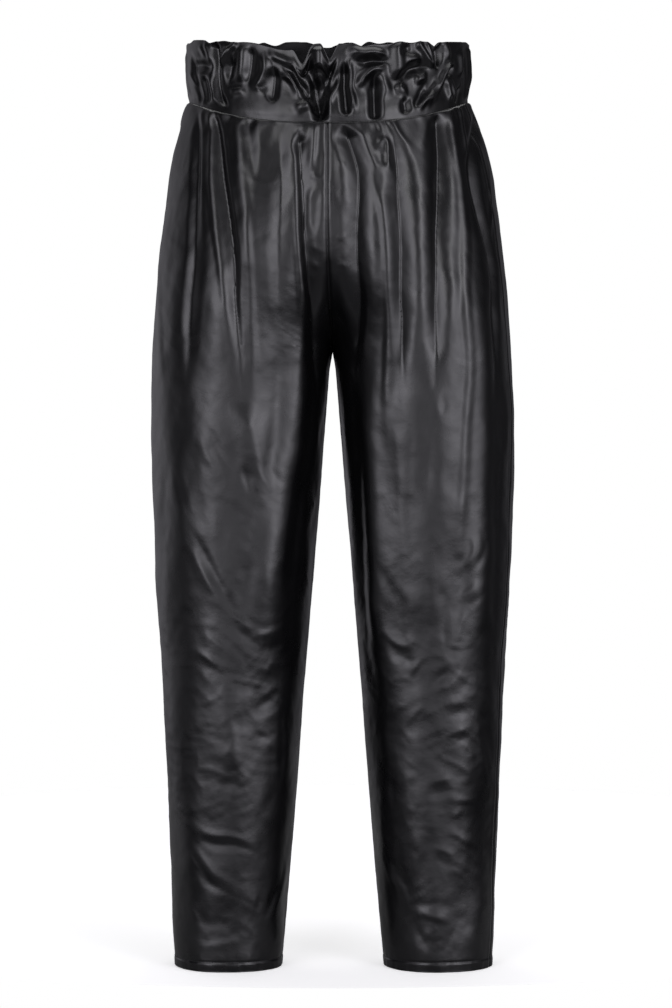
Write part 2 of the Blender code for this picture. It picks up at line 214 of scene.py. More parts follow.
def soft_noise(u: np.ndarray, v: np.ndarray, seed: int) -> np.ndarray:
    """Smooth random hills and hollows from -1 to 1 over a plane.

    Args:
        u: First coordinate, in hills.
        v: Second coordinate, in hills.
        seed: Which of the patterns.

    Returns:
        The height at each point.
    """
    size = 64
    lattice = np.random.default_rng(seed).uniform(-1.0, 1.0, (size, size))
    iu, iv = np.floor(u).astype(int), np.floor(v).astype(int)
    fu, fv = smooth_step(u - iu), smooth_step(v - iv)
    a, b = lattice[iu % size, iv % size], lattice[(iu + 1) % size, iv % size]
    c, d = lattice[iu % size, (iv + 1) % size], lattice[(iu + 1) % size, (iv + 1) % size]
    return (a * (1 - fu) + b * fu) * (1 - fv) + (c * (1 - fu) + d * fu) * fv


@dataclass(frozen=True)
class Swell:
    """Random hills and hollows in the cloth: how high, and how far apart round it and down it.

    start is where in the pattern the cloth begins, in hills. slant_mm is the drop over which the hills
    move round by one. seed says which pattern, counted from the piece's own. Beside a seam, "round" is
    along the seam and "down" is away from it.
    """

    height: float
    round_mm: float
    down_mm: float
    start: tuple[float, float]
    seed: int
    slant_mm: float = math.inf

    def lift(self, around: np.ndarray, drop: np.ndarray, piece_seed: int = 0) -> np.ndarray:
        """The height at each place on the cloth."""
        u = around / self.round_mm + drop / self.slant_mm + self.start[0]
        v = drop / self.down_mm + self.start[1]
        return self.height * soft_noise(u, v, piece_seed + self.seed)


@dataclass(frozen=True)
class Relief:
    """A smooth ridge along a seam, or a groove where height is below 0, and how far away its middle is."""

    centre: float
    width: float
    height: float

    def lift(self, distance: np.ndarray) -> np.ndarray:
        """The height at each distance from the seam."""
        return self.height * np.exp(-(((distance - self.centre) / self.width) ** 2))


def softened(heights: np.ndarray, passes: int) -> np.ndarray:
    """Round a grid of heights off a little: rows run from edge to edge, and columns all round."""
    for _ in range(passes):
        heights = 0.25 * np.roll(heights, 1, axis=1) + 0.5 * heights + 0.25 * np.roll(heights, -1, axis=1)
        rows = np.concatenate([heights[:1], heights, heights[-1:]])
        heights = 0.25 * rows[:-2] + 0.5 * rows[1:-1] + 0.25 * rows[2:]
    return heights


# --- Finishes ---------------------------------------------------------------------------------------


@dataclass(frozen=True)
class CoatedCloth:
    """Knitted cloth with a black polyurethane coating, embossed with a fine leather grain.

    The coating is satin, so it gives broad soft highlights along the folds, and the grain only breaks
    their edges up. Its gloss and its finest crinkles vary from patch to patch.
    """

    colour: str = "#070708"
    roughness: float = 0.29
    roughness_spread: float = 0.04
    ior: float = 1.5
    grain_mm: float = 1.6  # the real grain is 0.6 mm, drawn as coarse as the picture can show
    crinkle_mm: float = 14.0
    patch_mm: float = 45.0  # patches where the coating is a little more or less worn
    grain_depth_mm: float = 0.03
    crinkle_depth_mm: float = 0.25

    def build(self) -> bpy.types.Material:
        """Make the material."""
        material, shader = new_material(
            "black_polyurethane_coated_knit", Base_Color=linear_from_hex(self.colour), IOR=self.ior
        )
        tree = material.node_tree
        place = add_node(tree, "ShaderNodeTexCoord")
        patches = add_node(
            tree,
            "ShaderNodeTexNoise",
            inputs={"Vector": place.outputs["Object"], "Scale": 1000.0 / self.patch_mm, "Detail": 3.0},
        )
        gloss = add_node(
            tree,
            "ShaderNodeMapRange",
            inputs={
                "Value": patches.outputs["Fac"],
                "From Min": NOISE_RANGE[0],
                "From Max": NOISE_RANGE[1],
                "To Min": self.roughness - self.roughness_spread,
                "To Max": self.roughness + self.roughness_spread,
            },
        )
        tree.links.new(gloss.outputs["Result"], shader.inputs["Roughness"])
        crinkle = add_node(
            tree,
            "ShaderNodeTexNoise",
            inputs={
                "Vector": place.outputs["Object"],
                "Scale": 1000.0 / self.crinkle_mm,
                "Detail": 4.0,
                "Roughness": 0.55,
            },
        )
        grain = add_node(
            tree,
            "ShaderNodeTexVoronoi",
            settings={"feature": "DISTANCE_TO_EDGE"},
            inputs={"Vector": place.outputs["Object"], "Scale": 1000.0 / self.grain_mm},
        )
        soft = bump(tree, crinkle.outputs["Fac"], 1.0, self.crinkle_depth_mm)
        fine = bump(tree, grain.outputs["Distance"], 0.5, self.grain_depth_mm, soft)
        tree.links.new(fine, shader.inputs["Normal"])
        return material


@dataclass(frozen=True)
class KnitBacking:
    """Black polyester knit, the inside of the coated cloth: matt, with fine ribs along the legs."""

    colour: str = "#101011"
    roughness: float = 0.95
    gloss: float = 0.25
    rib_mm: float = 1.2
    rib_depth_mm: float = 0.2

    def build(self) -> bpy.types.Material:
        """Make the material."""
        material, shader = new_material(
            "black_polyester_knit",
            Base_Color=linear_from_hex(self.colour),
            Roughness=self.roughness,
            Specular_IOR_Level=self.gloss,
        )
        tree = material.node_tree
        place = add_node(tree, "ShaderNodeTexCoord")
        ribs = add_node(
            tree,
            "ShaderNodeTexWave",
            settings={"bands_direction": "X"},
            inputs={"Vector": place.outputs["Object"], "Scale": 1000.0 / self.rib_mm / WAVE_LENGTHS},
        )
        tree.links.new(bump(tree, ribs.outputs["Fac"], 0.4, self.rib_depth_mm), shader.inputs["Normal"])
        return material


@dataclass(frozen=True)
class SewingThread:
    """Black spun polyester thread: two plies with a slight shine."""

    colour: str = "#1c1c1f"
    roughness: float = 0.55
    twists: float = 600.0
    twist_depth_mm: float = 0.1

    def build(self) -> bpy.types.Material:
        """Make the material."""
        material, shader = new_material(
            "black_polyester_thread", Base_Color=linear_from_hex(self.colour), Roughness=self.roughness
        )
        tree = material.node_tree
        place = add_node(tree, "ShaderNodeTexCoord")
        twist = add_node(
            tree,
            "ShaderNodeTexWave",
            settings={"bands_direction": "DIAGONAL"},
            inputs={"Vector": place.outputs["Object"], "Scale": self.twists},
        )
        tree.links.new(bump(tree, twist.outputs["Fac"], 0.3, self.twist_depth_mm), shader.inputs["Normal"])
        return material


@dataclass(frozen=True)
class StudioFloor:
    """Opal acrylic table lit from below: matt white, glowing evenly, so shadows stay pale.

    Every ray but the camera's sees the table grey and unlit, a painted shade that darkens its reflection
    in the cloth; only the camera sees it white and glowing.
    """

    colour: str = "#f7f7f7"
    roughness: float = 0.9
    gloss: float = 0.1
    glow: float = 0.49
    # painted shade: the grey, unglowing copy of the table that the cloth's reflections see
    painted_shade_colour_in_reflections: str = "#a0a0a0"
    painted_shade_glow_in_reflections: float = 0.0

    def build(self) -> bpy.types.Material:
        """Make the material."""
        material, shader = new_material(
            "opal_acrylic", Roughness=self.roughness, Specular_IOR_Level=self.gloss, Emission_Color=WHITE
        )
        tree = material.node_tree
        # the camera sees the white, glowing table; every other ray sees its painted-shade copy
        by_camera = add_node(tree, "ShaderNodeLightPath").outputs["Is Camera Ray"]
        colours = (linear_from_hex(code) for code in (self.painted_shade_colour_in_reflections, self.colour))
        glow = add_node(
            tree,
            "ShaderNodeMapRange",
            inputs={"Value": by_camera, "To Min": self.painted_shade_glow_in_reflections, "To Max": self.glow},
        )
        tree.links.new(mix(tree, by_camera, *colours), shader.inputs["Base Color"])
        tree.links.new(glow.outputs["Result"], shader.inputs["Emission Strength"])
        return material


# --- The garment's form -----------------------------------------------------------------------------


class Side(Enum):
    """Which leg, as the wearer has it."""

    LEFT = "left"
    RIGHT = "right"

    @property
    def outward(self) -> float:
        """The sign of X on this side."""
        return 1.0 if self is Side.LEFT else -1.0


@dataclass(frozen=True)
class Level:
    """The garment at one drop.

    left_edge and right_edge are where its silhouette stands, seam is the centre seam or the middle
    of the gap, gap is half of the gap between the legs, and front and back are how far the cloth
    stands out. lobe is where it stands furthest, from the seam (0) to the side (1).
    """

    drop: float
    right_edge: float
    seam: float
    left_edge: float
    gap: float
    front: float
    back: float
    lobe: float


LEVELS = (
    Level(-92, -160, -3.0, 153, 0.0, 106, 103, 0.020),
    Level(-64, -159, -3.0, 152, 0.0, 106, 103, 0.020),
    Level(-30, -158, -3.5, 152, 0.0, 105, 102, 0.020),
    Level(0, -158, -4.0, 153, 0.0, 103, 100, 0.025),
    Level(10, -162, -4.0, 157, 0.0, 105, 103, 0.040),
    Level(30, -167, -4.0, 164, 0.0, 108, 107, 0.085),
    Level(75, -177, -4.0, 176, 0.0, 112, 116, 0.200),
    Level(120, -183, -4.0, 183, 0.0, 113, 123, 0.310),
    Level(165, -189, -3.5, 189, 0.0, 112, 128, 0.400),
    Level(210, -192, -2.0, 194, 0.0, 110, 129, 0.470),
    Level(272, -196, 1.5, 199, 0.0, 105, 121, 0.500),
    Level(294, -197, 1.6, 200, 3.8, 103, 118, 0.506),
    Level(360, -198, 1.8, 202, 8.8, 98, 109, 0.522),
    Level(470, -194, 2.2, 199, 17.6, 90, 95, 0.546),
    Level(560, -190, 2.2, 194, 25.2, 82, 83, 0.566),
    Level(650, -186, 1.8, 189, 32.6, 75, 78, 0.590),
    Level(735, -181, 2.2, 185, 38.6, 68, 74, 0.608),
    Level(825, -177, 1.8, 181, 45.7, 60, 67, 0.630),
    Level(910, -175, 2.2, 178, 53.0, 53, 60, 0.655),
    Level(947, -173, 2.2, 176, 56.4, 50, 56, 0.665),
)


@dataclass(frozen=True)
class GarmentForm:
    """The filled-out form that the cloth lies on, without its folds."""

    crotch_drop: float = 272.0
    hem_drop: float = 947.0
    band_height: float = 64.0
    axis_setback: float = 8.0
    outline_power: float = 2.15
    side_seam_turn: tuple[float, float] = (22.0, -12.0)  # left and right, degrees to the front
    spread_linear: float = 0.001
    spread_square: tuple[float, float] = (0.00014, 0.00010)  # front and back
    seam_dip: tuple[float, float] = (36.0, -12.0)  # waist seam at the centre front and back
    top_dip: tuple[float, float] = (17.0, -21.0)  # waistband's top edge there
    dip_reach: float = 170.0
    dip_power: float = 2.5
    samples: int = 240
    top_drop: float = -110.0
    sections: tuple[int, int, int] = (34, 110, 130)  # in the band, above the crotch and below it

    def level(self, drop: float) -> Level:
        """The garment's measures at any drop."""
        drops = [row.drop for row in LEVELS]
        names = ("right_edge", "seam", "left_edge", "front", "back", "lobe")
        found = {n: float(curve_through(drops, [getattr(row, n) for row in LEVELS], drop)) for n in names}
        gap = float(np.interp(drop, drops, [row.gap for row in LEVELS]))
        return Level(drop=drop, gap=gap, **found)

    def outer_reach(self, side: Side, level: Level) -> float:
        """How far this side's silhouette stands from the centre."""
        edge = level.left_edge if side is Side.LEFT else level.right_edge
        return abs(edge - level.seam)

    def section(self, side: Side, drop: float, shares: np.ndarray) -> np.ndarray:
        """Work out one side's outline at one drop.

        Args:
            side: Which leg.
            drop: How far down.
            shares: 0 is the front's inner edge, 1 the side seam and 2 the back's inner edge.

        Returns:
            The x and y of each point.
        """
        level = self.level(drop)
        outer = self.outer_reach(side, level)
        in_leg = drop >= self.crotch_drop
        lobe = (outer + level.gap) / 2.0 if in_leg else level.lobe * outer
        turn = math.radians(self.side_seam_turn[0 if side is Side.LEFT else 1])
        depths = (level.front + self.axis_setback, level.back - self.axis_setback)
        halves = []
        for face, forward in ((0, -1.0), (1, 1.0)):
            if in_leg:
                start, inner = 0.0, lobe - level.gap
            else:
                above = self.crotch_drop - drop
                overlap = 1.0 + self.spread_linear * above + self.spread_square[face] * above**2
                start = math.acos(overlap ** (-self.outline_power / 2.0))
                inner = lobe * overlap
            angle = np.linspace(start, math.pi + forward * turn, self.samples)
            cosine, sine = np.cos(angle), np.sin(angle)
            across = np.sign(cosine) * np.abs(cosine) ** (2.0 / self.outline_power)
            along = np.sign(sine) * np.abs(sine) ** (2.0 / self.outline_power)
            half_width = np.where(cosine > 0.0, inner, outer - lobe)
            half_depth = np.where(sine > 0.0, depths[face], depths[1 - face])
            x = lobe - half_width * across
            y = self.axis_setback + forward * half_depth * along
            halves.append(np.stack([level.seam + side.outward * x, y], axis=1))
        front, back = halves[0], halves[1][::-1]
        return np.concatenate(
            [self.spaced(front, shares[shares <= 1.0]), self.spaced(back, shares[shares > 1.0] - 1.0)]
        )

    @staticmethod
    def spaced(line: np.ndarray, shares: np.ndarray) -> np.ndarray:
        """Points at these shares of a line's length."""
        length = np.concatenate([[0.0], np.cumsum(np.linalg.norm(np.diff(line, axis=0), axis=1))])
        return np.stack([np.interp(shares * length[-1], length, line[:, i]) for i in (0, 1)], axis=1)

    def sheet_of_sections(self, side: Side, shares: np.ndarray) -> tuple[np.ndarray, np.ndarray]:
        """Sections close enough together to read any drop from.

        Args:
            side: Which leg.
            shares: The places round each section.

        Returns:
            The drops, and the x and y of each point at each drop.
        """
        in_band, in_rise, in_leg = self.sections
        band = np.linspace(self.top_drop, 0.0, in_band)[:-1]
        rise = self.crotch_drop * (1.0 - np.linspace(1.0, 0.0, in_rise) ** 1.8)
        inseam = self.hem_drop - self.crotch_drop
        leg = self.crotch_drop + inseam * np.linspace(0.0, 1.0, in_leg)[1:] ** 1.4
        drops = np.concatenate([band, rise, leg])
        return drops, np.array([self.section(side, float(d), shares) for d in drops])

    def rows(
        self, side: Side, shares: np.ndarray, drops: Sequence[float], dips: Sequence[tuple[float, float]]
    ) -> np.ndarray:
        """Rows of points on the form, each dipping from its sides to the centre front and back.

        Args:
            side: Which leg.
            shares: The places round each row.
            drops: Each row's drop at the sides.
            dips: How much lower each row is at the centre front and the centre back.

        Returns:
            A grid of points, in millimetres.
        """
        known, sheet = self.sheet_of_sections(side, shares)
        columns = range(len(shares))
        grid = []
        for drop, (front_dip, back_dip) in zip(drops, dips):
            x, y = (np.array([np.interp(drop, known, sheet[:, j, i]) for j in columns]) for i in (0, 1))
            level = self.level(float(drop))
            across = np.clip(np.abs(x - level.seam) / self.outer_reach(side, level), 0.0, 1.0)
            depth = np.where(y < self.axis_setback, front_dip, back_dip)
            low = drop + depth * (1.0 - across**self.dip_power)
            x, y = (np.array([np.interp(low[j], known, sheet[:, j, i]) for j in columns]) for i in (0, 1))
            grid.append(np.stack([x, y, -low], axis=1))
        return np.array(grid)


def grid_normals(points: np.ndarray, before: np.ndarray, after: np.ndarray, sign: float) -> np.ndarray:
    """Work out the outward normals of a grid.

    Args:
        points: The grid, row by row from the top.
        before: The column that would come before its first.
        after: The column that would come after its last.
        sign: 1 or -1, to make the normals face out.

    Returns:
        A unit normal for each point.
    """
    wide = np.concatenate([before[:, None], points, after[:, None]], axis=1)
    return sign * unit(np.cross(np.gradient(points, axis=0), wide[:, 2:] - wide[:, :-2]))


# --- Folds and creases ------------------------------------------------------------------------------

RIDGE_SPREAD = 0.5  # how much broader a ridge gets at its ends
TROUGH_SPREAD = -0.5  # and how much a trough narrows


@dataclass(frozen=True)
class Crease:
    """A ridge (height above 0) or a trough (below 0) along a path over the cloth.

    path holds pairs: how far round the cloth from the side seam (to the front above 0, to the back
    below 0) and the drop. width is half of its foot. lean makes its first side broader (above 0) or
    steeper (below 0). crisp runs from 0, a soft roll, to 1, a pressed edge. rise and tail are the
    shares of its length over which its start and its end run out. Ridges broaden there, and troughs
    run to a point.
    """

    path: tuple[tuple[float, float], ...]
    width: float
    height: float
    lean: float = 0.0
    crisp: float = 0.0
    rise: float = 0.45
    tail: float = 0.45

    def line(self) -> np.ndarray:
        """The path with its corners cut twice, so that it bends smoothly."""
        line = np.array(self.path, float)
        for _ in range(2):
            if len(line) > 2:
                near, far = line[:-1], line[1:]
                cut = np.stack([near * 0.75 + far * 0.25, near * 0.25 + far * 0.75], axis=1).reshape(-1, 2)
                line = np.concatenate([line[:1], cut[1:-1], line[-1:]])
        return line

    def lift(self, round_: np.ndarray, drop: np.ndarray) -> np.ndarray:
        """Work out how far the crease raises the cloth.

        Args:
            round_: How far round the cloth each point is.
            drop: How far down each point is.

        Returns:
            The height at each point.
        """
        line = self.line()
        spread = RIDGE_SPREAD if self.height > 0.0 else TROUGH_SPREAD
        reach = self.width * (1.0 + abs(self.lean)) * max(1.0, 1.0 + spread)
        low, high = line.min(axis=0) - reach, line.max(axis=0) + reach
        near = (round_ > low[0]) & (round_ < high[0]) & (drop > low[1]) & (drop < high[1])
        found = np.zeros_like(round_)
        if not near.any():
            return found
        point = np.stack([round_[near], drop[near]], axis=1)
        steps = np.diff(line, axis=0)
        lengths = np.linalg.norm(steps, axis=1)
        start = np.concatenate([[0.0], np.cumsum(lengths)])
        best = np.full(len(point), 1e9)
        along = np.zeros(len(point))
        beside = np.zeros(len(point))
        for k, step in enumerate(steps):
            way = point - line[k]
            t = np.clip(way @ step / lengths[k] ** 2, 0.0, 1.0)
            off = way - t[:, None] * step
            distance = np.linalg.norm(off, axis=1)
            closer = distance < best
            best = np.where(closer, distance, best)
            along = np.where(closer, (start[k] + t * lengths[k]) / start[-1], along)
            beside = np.where(closer, np.sign(step[1] * way[:, 0] - step[0] * way[:, 1]), beside)
        ends = smooth_step(along / self.rise) * smooth_step((1.0 - along) / self.tail)
        half = self.width * (1.0 - self.lean * beside) * (1.0 + spread * (1.0 - ends))
        away = np.clip(best / half, 0.0, 1.0)
        roll = 0.5 * (1.0 + np.cos(math.pi * away))
        edge = (1.0 - away) ** 2
        found[near] = self.height * ends * ((1.0 - self.crisp) * roll + self.crisp * edge)
        return found


# How the back's creases differ from the other leg's front ones, between least and most.
BACK_SEED = 83
BACK_WIDER = (0.98, 1.06)
BACK_LOWER = (-4.0, 14.0)
BACK_HEIGHT = (0.75, 1.1)


def on_the_back(creases: Sequence[Crease]) -> tuple[Crease, ...]:
    """One leg's front creases as the other leg's back has them: mirrored, and a little different."""
    chance = np.random.default_rng(BACK_SEED)
    made = []
    for crease in creases:
        wider, lower = chance.uniform(*BACK_WIDER), chance.uniform(*BACK_LOWER)
        path = tuple((-around * wider, max(drop + lower, 1.0)) for around, drop in crease.path)
        height = crease.height * chance.uniform(*BACK_HEIGHT)
        made.append(replace(crease, path=path, height=height, lean=-crease.lean))
    return tuple(made)


@dataclass(frozen=True)
class Notch:
    """A dip in the waistband's top edge: where it is from the centre front, how wide and how deep."""

    around: float
    half_width: float
    depth: float
    crisp: float = 0.5

    def depth_at(self, around: np.ndarray, total: np.ndarray) -> np.ndarray:
        """How deep the dip is at each point of rings of these lengths."""
        off = np.abs(around - self.around)
        away = np.clip(np.minimum(off, total - off) / self.half_width, 0.0, 1.0)
        roll = 0.5 * (1.0 + np.cos(math.pi * away))
        return self.depth * ((1.0 - self.crisp) * roll + self.crisp * (1.0 - away))


TOP_NOTCHES = (
    Notch(-27.0, 11.0, 17.0, 0.2),
    Notch(-46.0, 46.0, 6.0, 0.0),
    Notch(2.0, 10.0, 16.0, 0.2),
    Notch(38.0, 14.0, 3.0, 0.0),
    Notch(122.0, 10.0, 5.0),
    Notch(-140.0, 9.0, 3.0),
    Notch(-419.0, 27.0, 8.0, 0.2),
    Notch(386.0, 12.0, 5.0, 0.2),
    Notch(-360.0, 14.0, 4.0, 0.2),
    Notch(312.0, 13.0, 5.0, 0.2),
    Notch(-300.0, 12.0, 5.0, 0.2),
)


# Each row: path, width, height, lean, crisp, rise, tail. What is left out is the class's own.
LEFT_LEG_CREASES = (
    Crease(((184, 78), (176, 80)), 5.1, 0.5, 0, 0.4, 0.4, 0.4),
    Crease(((206, 158), (190, 160)), 5.1, 0.58, 0, 0.4, 0.4, 0.4),
    Crease(((208, 184), (198, 192)), 5.1, 0.5, 0, 0.4, 0.4, 0.4),
    Crease(((148, 42), (150, 58), (146, 86), (140, 98)), 7.6, 1.01, 0, 0.3, 0.15, 0.25),
    Crease(((140, 66), (134, 56), (124, 54), (128, 68), (134, 94)), 5.1, 1.73, 0, 0.4, 0.25, 0.25),
    Crease(((135, 65), (140, 85)), 8.1, -1.4, 0, 0.3, 0.3, 0.35),
    Crease(((132, 34), (132, 48)), 7.8, -1.44, 0, 0.3, 0.1, 0.5),
    Crease(((114, 32), (116, 40)), 5.1, 1.44, 0, 0.4, 0.1, 0.5),
    Crease(((118, 34), (120, 38)), 4.7, -1.15, 0, 0.3, 0.1, 0.5),
    Crease(((112, 32), (108, 52), (98, 68)), 7.6, 1.08, 0, 0.3, 0.08, 0.3),
    Crease(((60, 24), (74, 46), (92, 66)), 7.6, 1.08, 0, 0.3, 0.08, 0.3),
    Crease(((14, 10), (26, 50), (34, 88)), 5.1, 1.3, 0, 0.4, 0.05, 0.4),
    Crease(((-18, 72), (-4, 110), (16, 156)), 5.1, 1.01, 0, 0.4, 0.3, 0.35),
    Crease(((125, 320), (120, 375), (120, 445)), 17.8, -1.3, 0, 0.3, 0.35, 0.35),
    Crease(((155, 320), (155, 385), (150, 470), (145, 555)), 15.8, 1.3, 0, 0, 0.35, 0.35),
    Crease(((30, 300), (25, 350), (30, 405)), 13.5, -1.4, 0, 0.3, 0.4, 0.4),
    Crease(((106, 322), (104, 334), (108, 348)), 7.8, -0.58, 0, 0.3, 0.4, 0.4),
    Crease(((75, 465), (65, 480), (65, 495), (80, 515)), 8, 0.84, 0.45, 0.6),
    Crease(((65, 460), (50, 480), (55, 500), (70, 520)), 8, -0.74, 0, 0.4),
    Crease(((55, 520), (65, 535), (80, 545)), 8, 0.74, 0.45, 0.6),
    Crease(((45, 535), (60, 545), (70, 560)), 8, -0.53, 0, 0.4),
    Crease(((65, 540), (70, 565), (75, 585), (75, 610)), 8, 0.63, -0.2, 0.5),
    Crease(((90, 545), (90, 570), (85, 600)), 9, -0.63, 0, 0.3),
    Crease(((60, 610), (70, 625), (85, 645)), 9, 0.74, 0.45, 0.6),
    Crease(((75, 610), (85, 625), (100, 640)), 9, -0.63, 0, 0.4),
    Crease(((160, 570), (140, 595), (125, 595), (115, 580)), 9, 0.74, 0.45, 0.5),
    Crease(((155, 585), (140, 605), (120, 610), (110, 600)), 9, -0.53, 0, 0.3),
    Crease(((130, 630), (115, 610), (95, 600)), 9, 0.63, 0.45, 0.5),
    Crease(((170, 500), (150, 535), (140, 555)), 10, -0.53, 0, 0.3),
    Crease(((130, 480), (115, 510), (100, 545)), 12, 0.53, 0.45, 0.2),
    Crease(((200, 455), (180, 500), (175, 555)), 11, -0.63, 0, 0.2),
    Crease(((85, 660), (70, 655), (50, 650)), 8, 0.63, 0.45, 0.6),
    Crease(((85, 670), (65, 665), (45, 660)), 8, -0.53, 0, 0.4),
    Crease(((125, 675), (115, 665), (100, 655)), 8, 0.53, 0.45, 0.5),
    Crease(((50, 655), (40, 685), (30, 730), (15, 760)), 10, 0.84, -0.3, 0.5),
    Crease(((45, 655), (25, 690), (10, 735)), 9, -0.53, 0, 0.3),
    Crease(((85, 690), (65, 685), (45, 680)), 8, 0.53, 0.45, 0.5),
    Crease(((80, 700), (65, 695), (45, 690)), 8, -0.42, 0, 0.4),
    Crease(((105, 745), (85, 740), (60, 730)), 9, 0.63, 0.45, 0.5),
    Crease(((100, 755), (75, 750), (60, 745)), 9, -0.53, 0, 0.3),
    Crease(((78, 760), (60, 760), (36, 764)), 6, 0.53, 0.45, 0.6),
    Crease(((70, 780), (52, 770)), 6, 0.53, 0.45, 0.6),
    Crease(((80, 795), (60, 800), (40, 815)), 8, 0.63, 0.45, 0.6),
    Crease(((90, 810), (75, 815), (60, 825)), 8, 0.63, 0.45, 0.6),
    Crease(((85, 820), (70, 830), (50, 840)), 8, -0.53, 0, 0.3),
    Crease(((135, 685), (125, 740), (120, 805)), 18, 0.84, 0.45, 0.1),
    Crease(((145, 825), (130, 850), (115, 870)), 9, 0.63, 0.2, 0.5),
    Crease(((135, 820), (115, 845), (105, 870)), 9, -0.63, 0, 0.3),
    Crease(((110, 880), (90, 880), (75, 885), (50, 890)), 8, 0.7, 0.2, 0.7),
    Crease(((115, 875), (90, 870), (70, 870), (50, 880)), 9, -0.51, 0, 0.3),
    Crease(((100, 890), (90, 910), (75, 930)), 9, -0.44, 0, 0.4),
    Crease(((50, 890), (60, 915), (70, 930)), 9, -0.44, 0, 0.4),
    Crease(((90, 895), (75, 910), (65, 895)), 11, 0.44, 0.45, 0.2),
    Crease(
        ((165, 35), (165, 55), (165, 85), (170, 105), (180, 150), (185, 180), (200, 245), (215, 310)),
        19, -8.5, 0, 0.8, 0.06, 0.35,
    ),
    Crease(
        ((115, 45), (120, 75), (125, 100), (145, 180), (150, 255), (145, 330)),
        20, -8, 0.1, 0.8, 0.12, 0.4,
    ),
    Crease(
        ((50, 20), (65, 65), (80, 95), (100, 180), (110, 255), (115, 330)),
        21, -8.5, 0, 0.8, 0.06, 0.4,
    ),
    Crease(
        ((-45, 5), (20, 60), (35, 90), (30, 145), (20, 180), (35, 255), (45, 330)),
        15, -5.5, 0.2, 0.7, 0.06, 0.4,
    ),
    Crease(
        ((30, 15), (45, 50), (50, 90), (60, 140), (70, 190), (75, 255), (80, 355), (80, 445), (80, 545)),
        8, 1.5, 0.1, 0.1, 0.04, 0.4,
    ),
    Crease(
        ((145, 90), (150, 125), (155, 175), (160, 225), (165, 290), (165, 365), (155, 435)),
        10, 2, 0.2, 0.1, 0.12,
    ),
    Crease(((185, 225), (190, 330), (175, 480), (160, 585), (140, 720)), 28, 7, 0, 0, 0.3, 0.35),
    Crease(((40, 115), (60, 255), (55, 415), (50, 585), (45, 720)), 24, 4.5, 0, 0, 0.3, 0.35),
)
